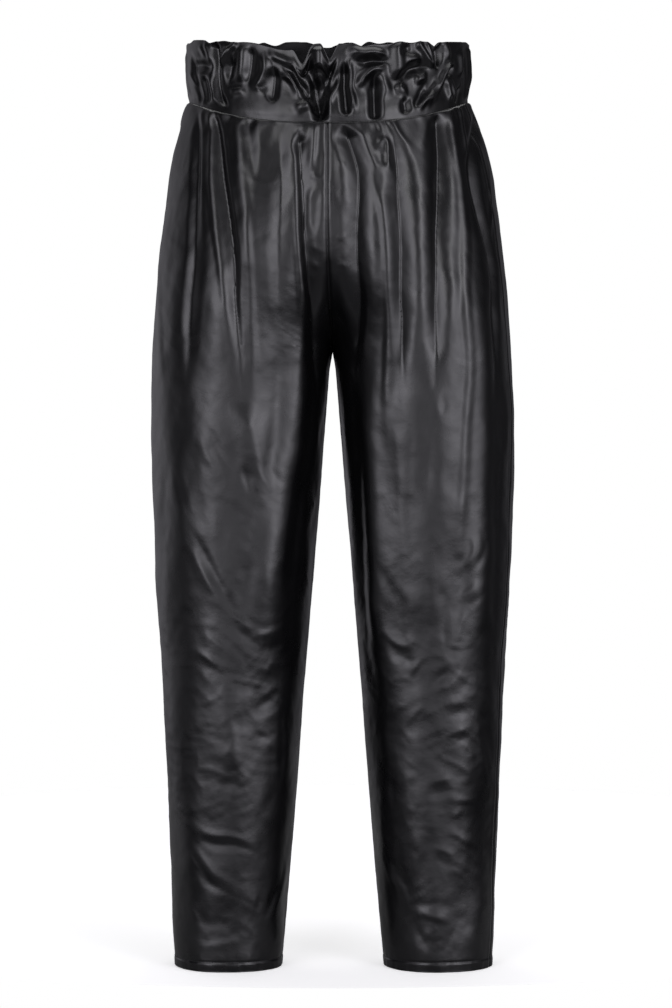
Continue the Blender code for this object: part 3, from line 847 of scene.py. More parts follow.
RIGHT_LEG_CREASES = (
    Crease(((92, 14), (124, 74), (146, 134), (158, 182)), 6.3, 1.3, 0, 0.3, 0.05, 0.5),
    Crease(((160, 30), (175, 60), (195, 100)), 9.4, -2, 0, 0.3, 0.1, 0.5),
    Crease(((190, 34), (190, 38)), 7.8, -1.08, 0, 0.3, 0.1, 0.5),
    Crease(((238, 36), (246, 66), (252, 96)), 6.3, 1.58, 0.2, 0.4, 0.1, 0.3),
    Crease(((252, 94), (262, 100), (268, 94)), 5.1, 0.86, 0, 0.5, 0.3, 0.3),
    Crease(((256, 104), (260, 126), (268, 154)), 5.1, 1.08, 0, 0.4, 0.3, 0.3),
    Crease(((264, 108), (270, 130), (274, 154)), 6.2, -0.86, 0, 0.3, 0.3, 0.3),
    Crease(((268, 102), (272, 124), (278, 154)), 5.1, 0.72, 0, 0.4, 0.3, 0.3),
    Crease(((270, 160), (276, 168), (286, 174)), 5.1, 0.65, 0, 0.5, 0.35, 0.35),
    Crease(((274, 184), (284, 192)), 5.1, 0.5, 0, 0.5, 0.4, 0.4),
    Crease(((140, 24), (142, 36)), 6.2, -1.08, 0, 0.3, 0.1, 0.5),
    Crease(((154, 28), (162, 40)), 5.1, 0.86, 0, 0.3, 0.1, 0.5),
    Crease(((162, 30), (172, 44)), 6.2, -0.86, 0, 0.3, 0.1, 0.5),
    Crease(((222, 36), (230, 56)), 7.6, 1.58, 0, 0.1, 0.1, 0.4),
    Crease(((40, 140), (85, 230), (85, 350)), 13.2, 1.2, 0, 0, 0.4, 0.4),
    Crease(((195, 330), (200, 385), (200, 415)), 16.5, 2, 0.2, 0, 0.35, 0.35),
    Crease(((215, 330), (210, 395), (200, 480)), 15.4, 2.2, 0, 0, 0.4, 0.4),
    Crease(((145, 360), (150, 390), (165, 420)), 9, 0.74, 0.2, 0.6),
    Crease(((155, 355), (165, 385), (175, 410)), 9, -0.63, 0, 0.4),
    Crease(((190, 395), (190, 415), (200, 435)), 8, -0.84, 0, 0.5),
    Crease(((200, 395), (210, 415), (220, 430)), 8, 0.74, 0.45, 0.6),
    Crease(((210, 390), (220, 410), (235, 425)), 8, -0.53, 0, 0.4),
    Crease(((105, 465), (120, 490), (130, 515), (140, 540), (150, 565)), 10, 1.06, 0.3, 0.7),
    Crease(((120, 460), (130, 485), (140, 510), (150, 535), (160, 560)), 10, -0.95, 0, 0.4),
    Crease(((150, 555), (165, 565), (180, 580)), 8, 0.63, 0.2, 0.6),
    Crease(((155, 575), (170, 585), (185, 595)), 8, -0.63, 0, 0.4),
    Crease(((115, 575), (130, 585), (150, 600)), 8, 0.63, 0.45, 0.6),
    Crease(((105, 595), (125, 605), (140, 615)), 8, 0.53, 0.45, 0.6),
    Crease(((115, 610), (135, 620), (155, 625)), 9, -0.53, 0, 0.4),
    Crease(((165, 595), (185, 580), (220, 570)), 9, 0.63, 0.45, 0.5),
    Crease(((170, 610), (195, 595), (220, 585)), 9, -0.63, 0, 0.4),
    Crease(((175, 630), (190, 615), (200, 600)), 8, 0.53, 0.45, 0.5),
    Crease(((256, 510), (278, 538)), 6, 0.42, 0.45, 0.5),
    Crease(((272, 436), (322, 450)), 5, 0.42, 0.45, 0.5),
    Crease(((290, 434), (292, 452)), 4, 0.42, 0.45, 0.5),
    Crease(((105, 405), (115, 435), (125, 455)), 11, -0.53, 0, 0.2),
    Crease(((150, 435), (175, 455), (200, 465)), 18, -0.53, 0, 0.1),
    Crease(((155, 480), (180, 490), (220, 495)), 16, 0.42, 0.45, 0.1),
    Crease(((130, 545), (95, 570), (75, 600)), 11, -0.42, 0, 0.2),
    Crease(((165, 660), (180, 655), (205, 640)), 10, -0.84, 0, 0.3),
    Crease(((160, 675), (175, 670), (210, 660)), 9, 0.53, 0.45, 0.4),
    Crease(((160, 690), (175, 690), (195, 685)), 9, -0.63, 0, 0.3),
    Crease(((140, 630), (145, 685), (140, 750)), 19, 0.95, 0.45, 0.1),
    Crease(((200, 655), (200, 695), (190, 750)), 11, -0.84, 0, 0.1),
    Crease(((110, 700), (135, 710), (155, 705)), 12, 0.42, 0.45, 0.2),
    Crease(((95, 745), (125, 740), (155, 750)), 12, -0.53, 0, 0.2),
    Crease(((80, 785), (105, 800), (130, 800), (160, 810)), 9, 0.95, 0.2, 0.6),
    Crease(((85, 795), (105, 810), (135, 810), (160, 820)), 9, -0.84, 0, 0.3),
    Crease(((80, 805), (95, 825), (110, 845), (130, 855)), 9, 0.84, 0.2, 0.6),
    Crease(((75, 820), (90, 840), (105, 855), (125, 865)), 9, -0.74, 0, 0.3),
    Crease(((72, 814), (86, 832), (98, 848)), 6, 0.53, 0.45, 0.5),
    Crease(((205, 820), (195, 845), (185, 860), (170, 880)), 10, 1.06, -0.3, 0.5),
    Crease(((185, 845), (170, 865), (150, 895)), 10, -1.06, 0, 0.3),
    Crease(((150, 850), (145, 870), (135, 890)), 10, 0.63, 0.45, 0.3),
    Crease(((60, 915), (100, 915), (140, 910)), 8, 0.53, 0.45, 0.4),
    Crease(((70, 890), (100, 895), (125, 890)), 10, -0.42, 0, 0.2),
    Crease(((55, 870), (80, 880), (85, 905)), 9, 0.42, 0.45, 0.3),
    Crease(
        ((85, 15), (110, 60), (130, 115), (145, 180), (140, 255), (130, 330)),
        17, -4, -0.2, 0.5, 0.1, 0.4,
    ),
    Crease(
        ((115, 20), (140, 55), (160, 95), (175, 135), (190, 180), (195, 245), (195, 330)),
        13, -6.5, 0.4, 0.8, 0.06,
    ),
    Crease(
        ((108, 16), (138, 74), (160, 134), (176, 192), (186, 246), (188, 314)),
        7, 1.5, -0.2, 0.1, 0.05, 0.4,
    ),
    Crease(
        ((145, 25), (170, 75), (190, 125), (200, 160), (210, 210), (210, 265), (205, 355), (195, 395)),
        9, 1.6, 0.1, 0.1, 0.05,
    ),
    Crease(((200, 45), (225, 100), (240, 180), (240, 255)), 16, -3, 0, 0.5, 0.2, 0.4),
    Crease(
        ((225, 55), (245, 110), (260, 170), (265, 235), (260, 290), (250, 360)),
        9, 2.5, -0.3, 0.1, 0.08, 0.4,
    ),
    Crease(
        ((220, 35), (245, 100), (265, 160), (275, 225), (295, 285), (295, 350)),
        13, -7.5, -0.2, 0.8, 0.08, 0.4,
    ),
    Crease(((160, 30), (180, 75), (200, 140), (205, 225)), 25, 3.2, 0, 0, 0.12, 0.4),
    Crease(
        ((260, 180), (265, 255), (260, 330), (230, 435), (195, 565), (175, 675)),
        28, 6.5, 0, 0, 0.3, 0.4,
    ),
)
BAND_CREASES = (
    Crease(((-210, 59), (-197, 30), (-193, 2)), 7, 1.5, 0, 0, 0.2, 0.2),
    Crease(((-179, 57), (-170, 40), (-166, 21), (-156, 2)), 9, -3.5, 0, 0.7, 0.3, 0.1),
    Crease(((-185, 35), (-170, 23), (-161, 14), (-154, 1)), 4, 1.5, 0, 0.4, 0.3, 0.15),
    Crease(((-158, 63), (-150, 57), (-142, 50)), 5, 1.6, 0, 0.3, 0.2, 0.4),
    Crease(((-173, 41), (-148, 42), (-131, 46)), 9, -3, 0, 0.2, 0.3, 0.3),
    Crease(((-148, 67), (-140, 60), (-137, 49)), 5, 2, 0, 0.2, 0.2, 0.4),
    Crease(((-136, 38), (-136, 22), (-133, 7)), 6, 3, 0, 0.2, 0.4, 0.15),
    Crease(((-146, 37), (-148, 19), (-144, 4)), 8, -2.5, 0, 0.5, 0.4, 0.1),
    Crease(
        ((-131, 72), (-127, 54), (-125, 42), (-126, 23), (-121, 12), (-109, 6)),
        9, -6.5, 0, 0.9, 0.05, 0.2,
    ),
    Crease(
        ((-118, 73), (-112, 65), (-122, 50), (-123, 38), (-123, 21), (-115, 10)),
        4, 3, 0, 0.4, 0.15, 0.2,
    ),
    Crease(((-100, 77), (-110, 67), (-119, 54), (-122, 46)), 5, 3.5, 0, 0.4, 0.1, 0.3),
    Crease(((-105, 64), (-109, 46), (-111, 28)), 9, -4.5, 0, 0.5, 0.4, 0.4),
    Crease(((-94, 76), (-93, 53), (-97, 31)), 10, 3, 0, 0, 0.2, 0.35),
    Crease(((-112, 21), (-98, 26), (-87, 26)), 7, 2.5, 0, 0.1, 0.35, 0.35),
    Crease(((-83, 76), (-84, 52), (-88, 30)), 9, -4, 0, 0.6, 0.2, 0.4),
    Crease(((-69, 77), (-66, 59), (-68, 47), (-74, 35), (-83, 26)), 8, 4, 0, 0.2, 0.3, 0.3),
    Crease(((-81, 34), (-71, 28), (-64, 27)), 3, 1.2, 0, 0.5, 0.35, 0.35),
    Crease(((-58, 64), (-56, 43), (-60, 17)), 10, -5, 0, 0.7, 0.35, 0.2),
    Crease(((-48, 58), (-36, 47), (-30, 34), (-25, 25)), 8, 4.5, 0, 0.1, 0.3, 0.3),
    Crease(((-49, 66), (-33, 52), (-25, 34), (-16, 20)), 8, -6, 0, 0.7, 0.3, 0.2),
    Crease(((-32, 68), (-24, 58), (-21, 49), (-18, 39), (-14, 26)), 6, 4.5, 0, 0.2, 0.25, 0.3),
    Crease(((-35, 12), (-23, 17), (-14, 20)), 8, 3, 0, 0, 0.35, 0.35),
    Crease(((-66, 73), (-50, 71), (-36, 65)), 7, 2.2, 0, 0, 0.3, 0.3),
    Crease(((-26, 74), (-21, 57), (-15, 41), (-9, 10)), 9, -9, 0, 0.7, 0.1, 0.05),
    Crease(((-9, 80), (-8, 70), (-8, 55)), 13, 6, 0, 0, 0.2, 0.25),
    Crease(((-10, 49), (-9, 28), (-7, 1)), 11, -7, 0, 0.2, 0.25, 0.05),
    Crease(((4, 74), (2, 55), (-3, 34), (-6, 6)), 8, -9, 0, 0.8, 0.1, 0.05),
    Crease(((3, 64), (3, 53), (0, 41), (-5, 17)), 4, 2.5, 0, 0.4, 0.2, 0.3),
    Crease(((18, 49), (7, 32), (0, 17)), 4, 2.2, 0, 0.4, 0.3, 0.3),
    Crease(((11, 59), (8, 45), (4, 32)), 6, -2.5, 0, 0.5, 0.4, 0.4),
    Crease(((18, 68), (18, 39), (21, 6)), 8, -6, 0, 0.7, 0.3, 0.1),
    Crease(((20, 68), (25, 52), (23, 35), (28, 22), (26, 10)), 5, 3.5, 0, 0.3, 0.2, 0.2),
    Crease(((20, 66), (32, 76), (46, 74), (67, 66)), 8, 5, 0, 0.2, 0.3, 0.3),
    Crease(((27, 62), (42, 67), (56, 64), (68, 59)), 9, -5, 0, 0.6, 0.35, 0.35),
    Crease(((34, 29), (36, 48), (50, 57), (67, 53)), 8, 4, 0, 0.1, 0.3, 0.3),
    Crease(((50, 56), (51, 33), (52, 2)), 10, -8.5, 0, 0.8, 0.5, 0.05),
    Crease(((57, 53), (63, 34), (68, 22)), 8, 3, 0, 0.1, 0.35, 0.35),
    Crease(((75, 80), (77, 59), (77, 39)), 14, 4, 0, 0, 0.15, 0.35),
    Crease(((74, 37), (83, 27), (89, 28)), 8, 3.5, 0, 0.1, 0.35, 0.35),
    Crease(((72, 37), (83, 44), (95, 52), (118, 47)), 10, -7, 0, 0.6, 0.4, 0.4),
    Crease(((83, 60), (93, 61), (103, 56)), 8, 3, 0, 0, 0.35, 0.35),
    Crease(((95, 38), (103, 38), (112, 39)), 8, 3, 0, 0, 0.35, 0.35),
    Crease(((81, 21), (86, 14), (86, 5)), 10, -4, 0, 0.5, 0.35, 0.1),
    Crease(((109, 31), (104, 20), (96, 9)), 7, -3.5, 0, 0.6, 0.35, 0.2),
    Crease(((128, 37), (120, 22), (100, 7)), 6, 4.5, 0, 0.3, 0.3, 0.2),
    Crease(((90, 77), (83, 71), (76, 66)), 8, -2.5, 0, 0.4, 0.2, 0.4),
    Crease(((98, 78), (111, 59), (118, 47)), 5, 4, 0, 0.3, 0.15, 0.3),
    Crease(((110, 75), (118, 58), (120, 47)), 4, 3, 0, 0.3, 0.15, 0.3),
    Crease(((126, 73), (130, 57), (125, 43)), 8, -7.5, 0, 0.6, 0.1, 0.35),
    Crease(((135, 71), (143, 59), (141, 49)), 6, 2, 0, 0.2, 0.2, 0.35),
    Crease(((156, 48), (134, 40), (129, 29), (126, 19), (108, 8)), 6, 5.5, 0, 0.3, 0.3, 0.2),
    Crease(((136, 35), (144, 20), (150, 7)), 5, 3.5, 0, 0.2, 0.35, 0.2),
    Crease(((139, 37), (150, 24), (162, 7)), 4, 2, 0, 0.4, 0.35, 0.2),
    Crease(((151, 45), (143, 38), (138, 32)), 6, -4, 0, 0.5, 0.3, 0.4),
    Crease(((164, 60), (169, 40), (161, 26)), 8, 2.5, 0, 0, 0.3, 0.35),
    Crease(((169, 21), (166, 11), (159, 2)), 6, -3, 0, 0.5, 0.35, 0.15),
    Crease(((189, 61), (197, 40), (189, 2)), 7, 3, 0, 0.1, 0.1, 0.1),
    Crease(((175, 57), (177, 35), (184, 12)), 4, -1.5, 0, 0.5, 0.3, 0.3),
)
LEG_CREASES = {
    Side.LEFT: LEFT_LEG_CREASES + on_the_back(RIGHT_LEG_CREASES),
    Side.RIGHT: RIGHT_LEG_CREASES + on_the_back(LEFT_LEG_CREASES),
}


@dataclass(frozen=True)
class Wrinkles:
    """One set of short sharp wrinkles, scattered in patches.

    number tells the sets' patterns apart, and slant is in radians from level.
    """

    number: int
    slant: float
    length: float
    width: float
    height: float
    sharpness: int = 4
    bend: float = 0.6  # how far they stray from straight, in wrinkles
    bend_mm: float = 60.0
    patch_mm: tuple[float, float] = (45.0, 55.0)  # how big the patches are, round the cloth and down it

    def lift(self, around: np.ndarray, drop: np.ndarray, piece_seed: int) -> np.ndarray:
        """The height at each place on the cloth."""
        k, seed = self.number, piece_seed + self.number
        bend = self.bend * soft_noise(around / self.bend_mm + k, drop / self.bend_mm + 2.0 * k, seed + 10)
        cosine, sine = math.cos(self.slant), math.sin(self.slant)
        along = (around * cosine + drop * sine) / self.length + bend
        beside = (drop * cosine - around * sine) / self.width + 2.0 * bend
        hills = soft_noise(along, beside, seed + 20)
        patches = soft_noise(around / self.patch_mm[0] + 5.0 * k, drop / self.patch_mm[1], seed + 30)
        here = smooth_step(1.6 * patches + 0.15)
        return self.height * here * (1.0 - np.abs(hills)) ** self.sharpness


WRINKLES = (
    Wrinkles(0, 0.45, 44.0, 13.0, 0.45),
    Wrinkles(1, -0.5, 38.0, 12.0, 0.38),
    Wrinkles(2, 0.05, 32.0, 9.0, 0.24),
)

# How crumpled each leg is at these drops.
CRUMPLED_DROPS = (0, 60, 260, 420, 560, 640, 720, 800, 900, 947)
CRUMPLED_SHARES = (0.3, 0.5, 0.25, 0.2, 0.5, 1.0, 0.9, 0.5, 0.5, 0.2)

# Where each leg's random patterns start, and its wrinkles' and its tucks' ones.
LEG_SEEDS = {Side.LEFT: 11, Side.RIGHT: 29}
WRINKLE_SEEDS = {Side.LEFT: 16, Side.RIGHT: 34}
TUCK_SEEDS = {Side.LEFT: 5, Side.RIGHT: 17}

# How far the creases' places wander on the cloth, round it and down it, and the cloth's own swells.
LEG_SWAY = Swell(3.0, 50.0, 65.0, (2.2, 1.4), 3)
LEG_SLIDE = Swell(4.0, 45.0, 60.0, (6.1, 8.3), 4)
LEG_SWELLS = (
    Swell(1.7, 30.0, 90.0, (7.3, 3.1), 0),
    Swell(0.45, 17.0, 26.0, (1.7, 5.9), 1, 60.0),
    Swell(0.14, 8.0, 9.0, (9.1, 2.3), 2),
)
BAND_SWELLS = (
    Swell(0.35, 15.0, 11.0, (5.1, 2.7), 79),
    Swell(0.10, 6.0, 5.0, (1.1, 6.7), 80),
)

# Tucks where the legs are gathered into the waist seam, and how much their length varies.
TUCKS = Swell(0.8, 8.5, 160.0, (3.0, 0.0), 1)
TUCK_LENGTHS = Swell(14.0, 24.0, 1.0, (2.0, 0.0), 0)

# The seams: each groove, the turnings' ridge beside it, and the puckers that the stitches draw up.
SEAM_GROOVE = Relief(0.0, 1.3, -0.9)
SEAM_TURNING = Relief(4.2, 2.4, 0.35)
SEAM_PUCKERS = Swell(0.22, 7.0, 30.0, (3.3, 1.2), 0)
SIDE_SEAM_SEED = 41
INNER_SEAM_SEED = 43
WAIST_GROOVE = Relief(0.0, 0.9, -1.5)
HEM_GROOVE = Relief(10.0, 1.1, -0.55)  # where the hem's stitches run, above its edge
HEM_PUCKERS = Swell(0.3, 5.0, 12.0, (4.4, 0.7), 47)
BAND_GROOVE = Relief(0.0, 0.9, -0.5)
BAND_CURL = Relief(0.0, 6.0, -2.0)  # how the band rolls in to its seam


# --- Meshes -----------------------------------------------------------------------------------------


RIM_ROUNDNESS = 0.35  # how far a rim bulges, as a share of the wall


def shell_mesh(
    name: str, outer: np.ndarray, inner: np.ndarray, materials: Sequence[bpy.types.Material]
) -> bpy.types.Object:
    """Make a closed cloth from its outside and a coarser inside, joined by a rounded rim.

    Args:
        name: The piece's name.
        outer: The outside's grid, with an even number of steps each way.
        inner: The inside's grid, of which every second row and column is used.
        materials: The coated face, and the backing that shows inside and on the rim's inner half.

    Returns:
        The new object, in the scene.
    """
    rows, columns = outer.shape[:2]
    inside = inner[::2, ::2]
    in_rows, in_columns = inside.shape[:2]
    outer_index = np.arange(rows * columns).reshape(rows, columns)
    inner_index = rows * columns + np.arange(in_rows * in_columns).reshape(in_rows, in_columns)
    points = [outer.reshape(-1, 3), inside.reshape(-1, 3)]

    def quads(index: np.ndarray, flip: bool) -> np.ndarray:
        """Faces between the neighbours of a grid."""
        corners = [index[:-1, :-1], index[1:, :-1], index[1:, 1:], index[:-1, 1:]]
        faces = np.stack([c.reshape(-1) for c in corners], axis=1)
        return faces[:, ::-1] if flip else faces

    def edge(index: np.ndarray) -> np.ndarray:
        """The grid's rim, once round, first point repeated."""
        return np.concatenate([index[0, :-1], index[:-1, -1], index[-1, :0:-1], index[::-1, 0]])

    outer_rim, inner_rim = edge(outer_index), edge(inner_index)
    all_points = np.concatenate(points)
    middle = (all_points[outer_rim[:-1:2]] + all_points[inner_rim[:-1]]) / 2.0
    across = all_points[outer_rim[:-1:2]] - all_points[inner_rim[:-1]]
    ahead = np.roll(middle, -1, axis=0) - np.roll(middle, 1, axis=0)
    bulge = unit(np.cross(across, ahead)) * np.linalg.norm(across, axis=1, keepdims=True) * RIM_ROUNDNESS
    middle_start = len(all_points)
    middle_rim = np.append(np.arange(len(middle)), 0) + middle_start
    points.append(middle + bulge)
    faces = [quads(outer_index, False), quads(inner_index, True)]
    fine_start, fine_mid, fine_end = outer_rim[:-1:2], outer_rim[1::2], outer_rim[2::2]
    start, end = middle_rim[:-1], middle_rim[1:]
    triangles = np.concatenate(
        [
            np.stack([fine_start, start, fine_mid], axis=1),
            np.stack([fine_mid, start, end], axis=1),
            np.stack([fine_mid, end, fine_end], axis=1),
        ]
    )
    rim_quads = np.stack([start, inner_rim[:-1], inner_rim[1:], end], axis=1)
    polygons = [*faces[0].tolist(), *faces[1].tolist(), *rim_quads.tolist(), *triangles.tolist()]
    kinds = np.zeros(len(polygons), int)
    kinds[len(faces[0]) : len(faces[0]) + len(faces[1]) + len(rim_quads)] = 1
    return mesh_piece(name, np.concatenate(points), polygons, materials, kinds)


def mesh_piece(
    name: str,
    points: np.ndarray,
    polygons: Sequence[Sequence[int]],
    materials: Sequence[bpy.types.Material],
    kinds: np.ndarray | None = None,
) -> bpy.types.Object:
    """Make a smooth mesh and put it in the scene, on the garment's body.

    Args:
        name: The piece's name.
        points: Its points, in millimetres.
        polygons: The points of each face.
        materials: Its materials.
        kinds: Which of them each face has, where it isn't the first.

    Returns:
        The new object.
    """
    mesh = bpy.data.meshes.new(name)
    mesh.from_pydata((points * MILLIMETRE).tolist(), [], polygons)
    for material in materials:
        mesh.materials.append(material)
    if kinds is not None:
        mesh.polygons.foreach_set("material_index", kinds)
    mesh.shade_smooth()
    mesh.update()
    piece = bpy.data.objects.new(name, mesh)
    bpy.context.scene.collection.objects.link(piece)
    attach(piece, "root")
    return piece


def area_of(grid: np.ndarray) -> float:
    """A grid's area in square metres."""
    a, b = grid[1:, :-1] - grid[:-1, :-1], grid[:-1, 1:] - grid[:-1, :-1]
    return float(np.linalg.norm(np.cross(a, b), axis=2).sum() * MILLIMETRE**2)


@dataclass(frozen=True)
class StitchLine:
    """A row of lockstitches: short threads that dip into the cloth between one and the next."""

    pitch: float = 3.3
    length: float = 2.7
    radius: float = 0.22
    proud: float = 1.3  # how far a stitch's middle stands off the cloth, in its own radii
    dip: float = 2.2  # how much lower its ends are
    taper: float = 0.45
    sides: int = 6
    rings: int = 7

    def build(
        self, name: str, line: np.ndarray, outward: np.ndarray, thread: bpy.types.Material
    ) -> bpy.types.Object:
        """Sew along a line on the cloth.

        Args:
            name: The piece's name.
            line: Points along the seam, in millimetres.
            outward: The cloth's normal at each.
            thread: What the thread is made of.

        Returns:
            The new object, in the scene.
        """
        travelled = np.concatenate([[0.0], np.cumsum(np.linalg.norm(np.diff(line, axis=0), axis=1))])
        count = int((travelled[-1] - self.pitch) / self.pitch)
        first = (travelled[-1] - (count - 1) * self.pitch) / 2.0
        points, faces = [], []
        turns = np.linspace(0.0, 2.0 * math.pi, self.sides, endpoint=False)
        for k in range(count):
            share = np.linspace(-1.0, 1.0, self.rings)
            at = first + k * self.pitch + share * self.length / 2.0
            centre = np.stack([np.interp(at, travelled, line[:, i]) for i in range(3)], axis=1)
            up = unit(np.stack([np.interp(at, travelled, outward[:, i]) for i in range(3)], axis=1))
            ahead = unit(np.gradient(centre, axis=0))
            aside = np.cross(ahead, up)
            centre = centre + up * (self.radius * (self.proud - self.dip * share**4))[:, None]
            thick = self.radius * (1.0 - self.taper * share**6)
            start = len(points) * self.sides * self.rings
            ring = centre[:, None] + thick[:, None, None] * (
                np.cos(turns)[None, :, None] * aside[:, None] + np.sin(turns)[None, :, None] * up[:, None]
            )
            points.append(ring.reshape(-1, 3))
            for r in range(self.rings - 1):
                for t in range(self.sides):
                    a, b = start + r * self.sides + t, start + r * self.sides + (t + 1) % self.sides
                    faces.append((a, b, b + self.sides, a + self.sides))
            faces.append(tuple(start + t for t in reversed(range(self.sides))))
            faces.append(tuple(start + (self.rings - 1) * self.sides + t for t in range(self.sides)))
        return mesh_piece(name, np.concatenate(points), faces, [thread])


@dataclass
class Leg:
    """One leg's front and back panels, from the waist seam to the turned-up hem."""

    form: GarmentForm
    side: Side
    cloth: Sequence[bpy.types.Material]
    thread: bpy.types.Material
    wall: float = 1.2
    hem_wall: float = 2.2
    hem_height: float = 11.0
    hem_swelling: float = 0.5
    seam_gap: float = 0.0
    pucker_reach: float = 9.0
    tuck_reach: float = 22.0
    calm_edge: float = 14.0  # folds die away this near to the inner seams
    calm_top: float = 7.0  # and to the waist seam
    rows_above_fork: float = 32.0  # the rows close in over these lengths above and below the crotch
    rows_below_fork: float = 30.0
    columns: int = 150
    edge_columns: int = 9
    ease: float = 1.02  # how much more cloth is cut than the smooth form needs: it hangs as folds
    smooth: np.ndarray = field(default=None, repr=False)
    grid: np.ndarray = field(default=None, repr=False)
    normal: np.ndarray = field(default=None, repr=False)

    def drops(self) -> np.ndarray:
        """Each row's drop: close together at the waist seam, the crotch and the hem."""
        crotch, hem = self.form.crotch_drop, self.form.hem_drop
        waist = [0.0, 0.8, 1.8, 3.2]
        above, below = self.rows_above_fork, self.rows_below_fork
        rise = np.linspace(5.0, crotch - above, 91)[:-1]
        fork = crotch - above * np.linspace(1.0, 0.0, 22) ** 1.8
        thigh = crotch + below * np.linspace(0.0, 1.0, 14)[1:] ** 1.5
        leg = np.linspace(crotch + below + 3.0, hem - 15.0, 214)
        turn = hem - np.linspace(13.5, 0.0, 14)
        rows = np.concatenate([waist, rise, fork, thigh, leg, turn])
        return rows if len(rows) % 2 else np.delete(rows, 60)

    def shares(self) -> np.ndarray:
        """Places round each row: the same on both panels, and close together at the seams."""
        edge = np.array([0.0, 0.0018, 0.0042, 0.0075, 0.012, 0.018])
        middle = np.linspace(edge[-1], 1.0 - edge[-1], self.columns - self.edge_columns)[1:-1]
        one = np.concatenate([edge, middle, 1.0 - edge[::-1]])
        one = one if len(one) % 2 else np.delete(one, len(one) // 2)
        return np.concatenate([one, 1.0 + one[1:]])

    def shape(self) -> None:
        """Work out the leg's outside, with its folds, and the normals."""
        drops, shares = self.drops(), self.shares()
        slope = 1.0 - smooth_step(drops / self.form.dip_reach)
        dips = [(s * self.form.seam_dip[0], s * self.form.seam_dip[1]) for s in slope]
        base = self.form.rows(self.side, shares, drops, dips)
        normal = self.normals(base)
        half = len(shares) // 2
        steps = np.linalg.norm(np.diff(base, axis=1), axis=2)
        from_edge = np.concatenate([np.zeros((len(base), 1)), np.cumsum(steps, axis=1)], axis=1)
        around = from_edge[:, half : half + 1] - from_edge
        inner_edge = np.minimum(from_edge, from_edge[:, -1:] - from_edge)
        drop = -base[..., 2]
        below = base[:1, :, 2] - base[..., 2]
        lift = self.folds(around, drop)
        lift *= smooth_step(inner_edge / self.calm_edge) * smooth_step(below / self.calm_top + 0.08)
        lift += self.gathers(around, below)
        lift += self.seams(around, inner_edge, drop, below)
        self.smooth = base
        self.grid = base + normal * lift[..., None]
        self.hold_to_seam(self.grid, base)
        self.normal = self.normals(self.grid)

    def hold_to_seam(self, points: np.ndarray, base: np.ndarray) -> None:
        """Keep a grid's inner edges in the plane of the centre seam, above the crotch."""
        above = -base[:, 0, 2] < self.form.crotch_drop + 1.0
        for column in (0, -1):
            points[above, column, 0] = base[above, column, 0]

    def normals(self, points: np.ndarray) -> np.ndarray:
        """Outward normals: the rows close on themselves from the crotch down."""
        is_leg = (-points[:, 0, 2] > self.form.crotch_drop - 1.0)[:, None]
        before = np.where(is_leg, points[:, -2], 2.0 * points[:, 0] - points[:, 1])
        after = np.where(is_leg, points[:, 1], 2.0 * points[:, -1] - points[:, -2])
        outward = self.side.outward
        normal = grid_normals(points, before, after, outward)
        for column in (0, -1):
            normal[:, column, 0] = outward * np.minimum(outward * normal[:, column, 0], 0.0)
        return unit(normal)

    def folds(self, around: np.ndarray, drop: np.ndarray) -> np.ndarray:
        """Folds, creases and the coated cloth's own unevenness."""
        lift = np.zeros_like(around)
        seed = LEG_SEEDS[self.side]
        sway, slide = (swell.lift(around, drop, seed) for swell in (LEG_SWAY, LEG_SLIDE))
        for crease in LEG_CREASES[self.side]:
            lift += crease.lift(around + sway, drop + slide)
        for swell in LEG_SWELLS:
            lift += swell.lift(around, drop, seed)
        return lift + self.crumples(around, drop)

    def crumples(self, around: np.ndarray, drop: np.ndarray) -> np.ndarray:
        """Short sharp wrinkles where the cloth was crushed: most at the knee, few on the thigh."""
        how_many = curve_through(CRUMPLED_DROPS, CRUMPLED_SHARES, drop)
        lift = np.zeros_like(around)
        for wrinkles in WRINKLES:
            lift += wrinkles.lift(around, drop, WRINKLE_SEEDS[self.side])
        return lift * how_many

    def gathers(self, around: np.ndarray, below: np.ndarray) -> np.ndarray:
        """Small tucks where the cloth is gathered into the waist seam."""
        seed = TUCK_SEEDS[self.side]
        reach = self.tuck_reach + TUCK_LENGTHS.lift(around, np.zeros_like(around), seed)
        return TUCKS.lift(around, below, seed) * np.exp(-below / reach) * smooth_step(below / 3.0 + 0.1)

    def seams(
        self, around: np.ndarray, inner_edge: np.ndarray, drop: np.ndarray, below: np.ndarray
    ) -> np.ndarray:
        """Grooves where panels are sewn together, with the turnings raised beside them.

        Args:
            around: How far each point is from the side seam.
            inner_edge: How far it is from the centre seam or inseam.
            drop: How far down it is.
            below: How far it is below the waist seam.

        Returns:
            The height at each point.
        """
        lift = np.zeros_like(around)
        for distance, seed in ((np.abs(around), SIDE_SEAM_SEED), (inner_edge, INNER_SEAM_SEED)):
            lift += SEAM_GROOVE.lift(distance)
            lift += SEAM_TURNING.lift(distance)
            lift += SEAM_PUCKERS.lift(drop, distance, seed) * np.exp(-distance / self.pucker_reach)
        lift += WAIST_GROOVE.lift(below)
        up = self.form.hem_drop - drop
        lift += HEM_GROOVE.lift(up)
        lift += self.hem_swelling * smooth_step((self.hem_height - up) / 3.0)
        lift += HEM_PUCKERS.lift(around, up) * smooth_step((2.0 * self.hem_height - up) / 14.0)
        return lift

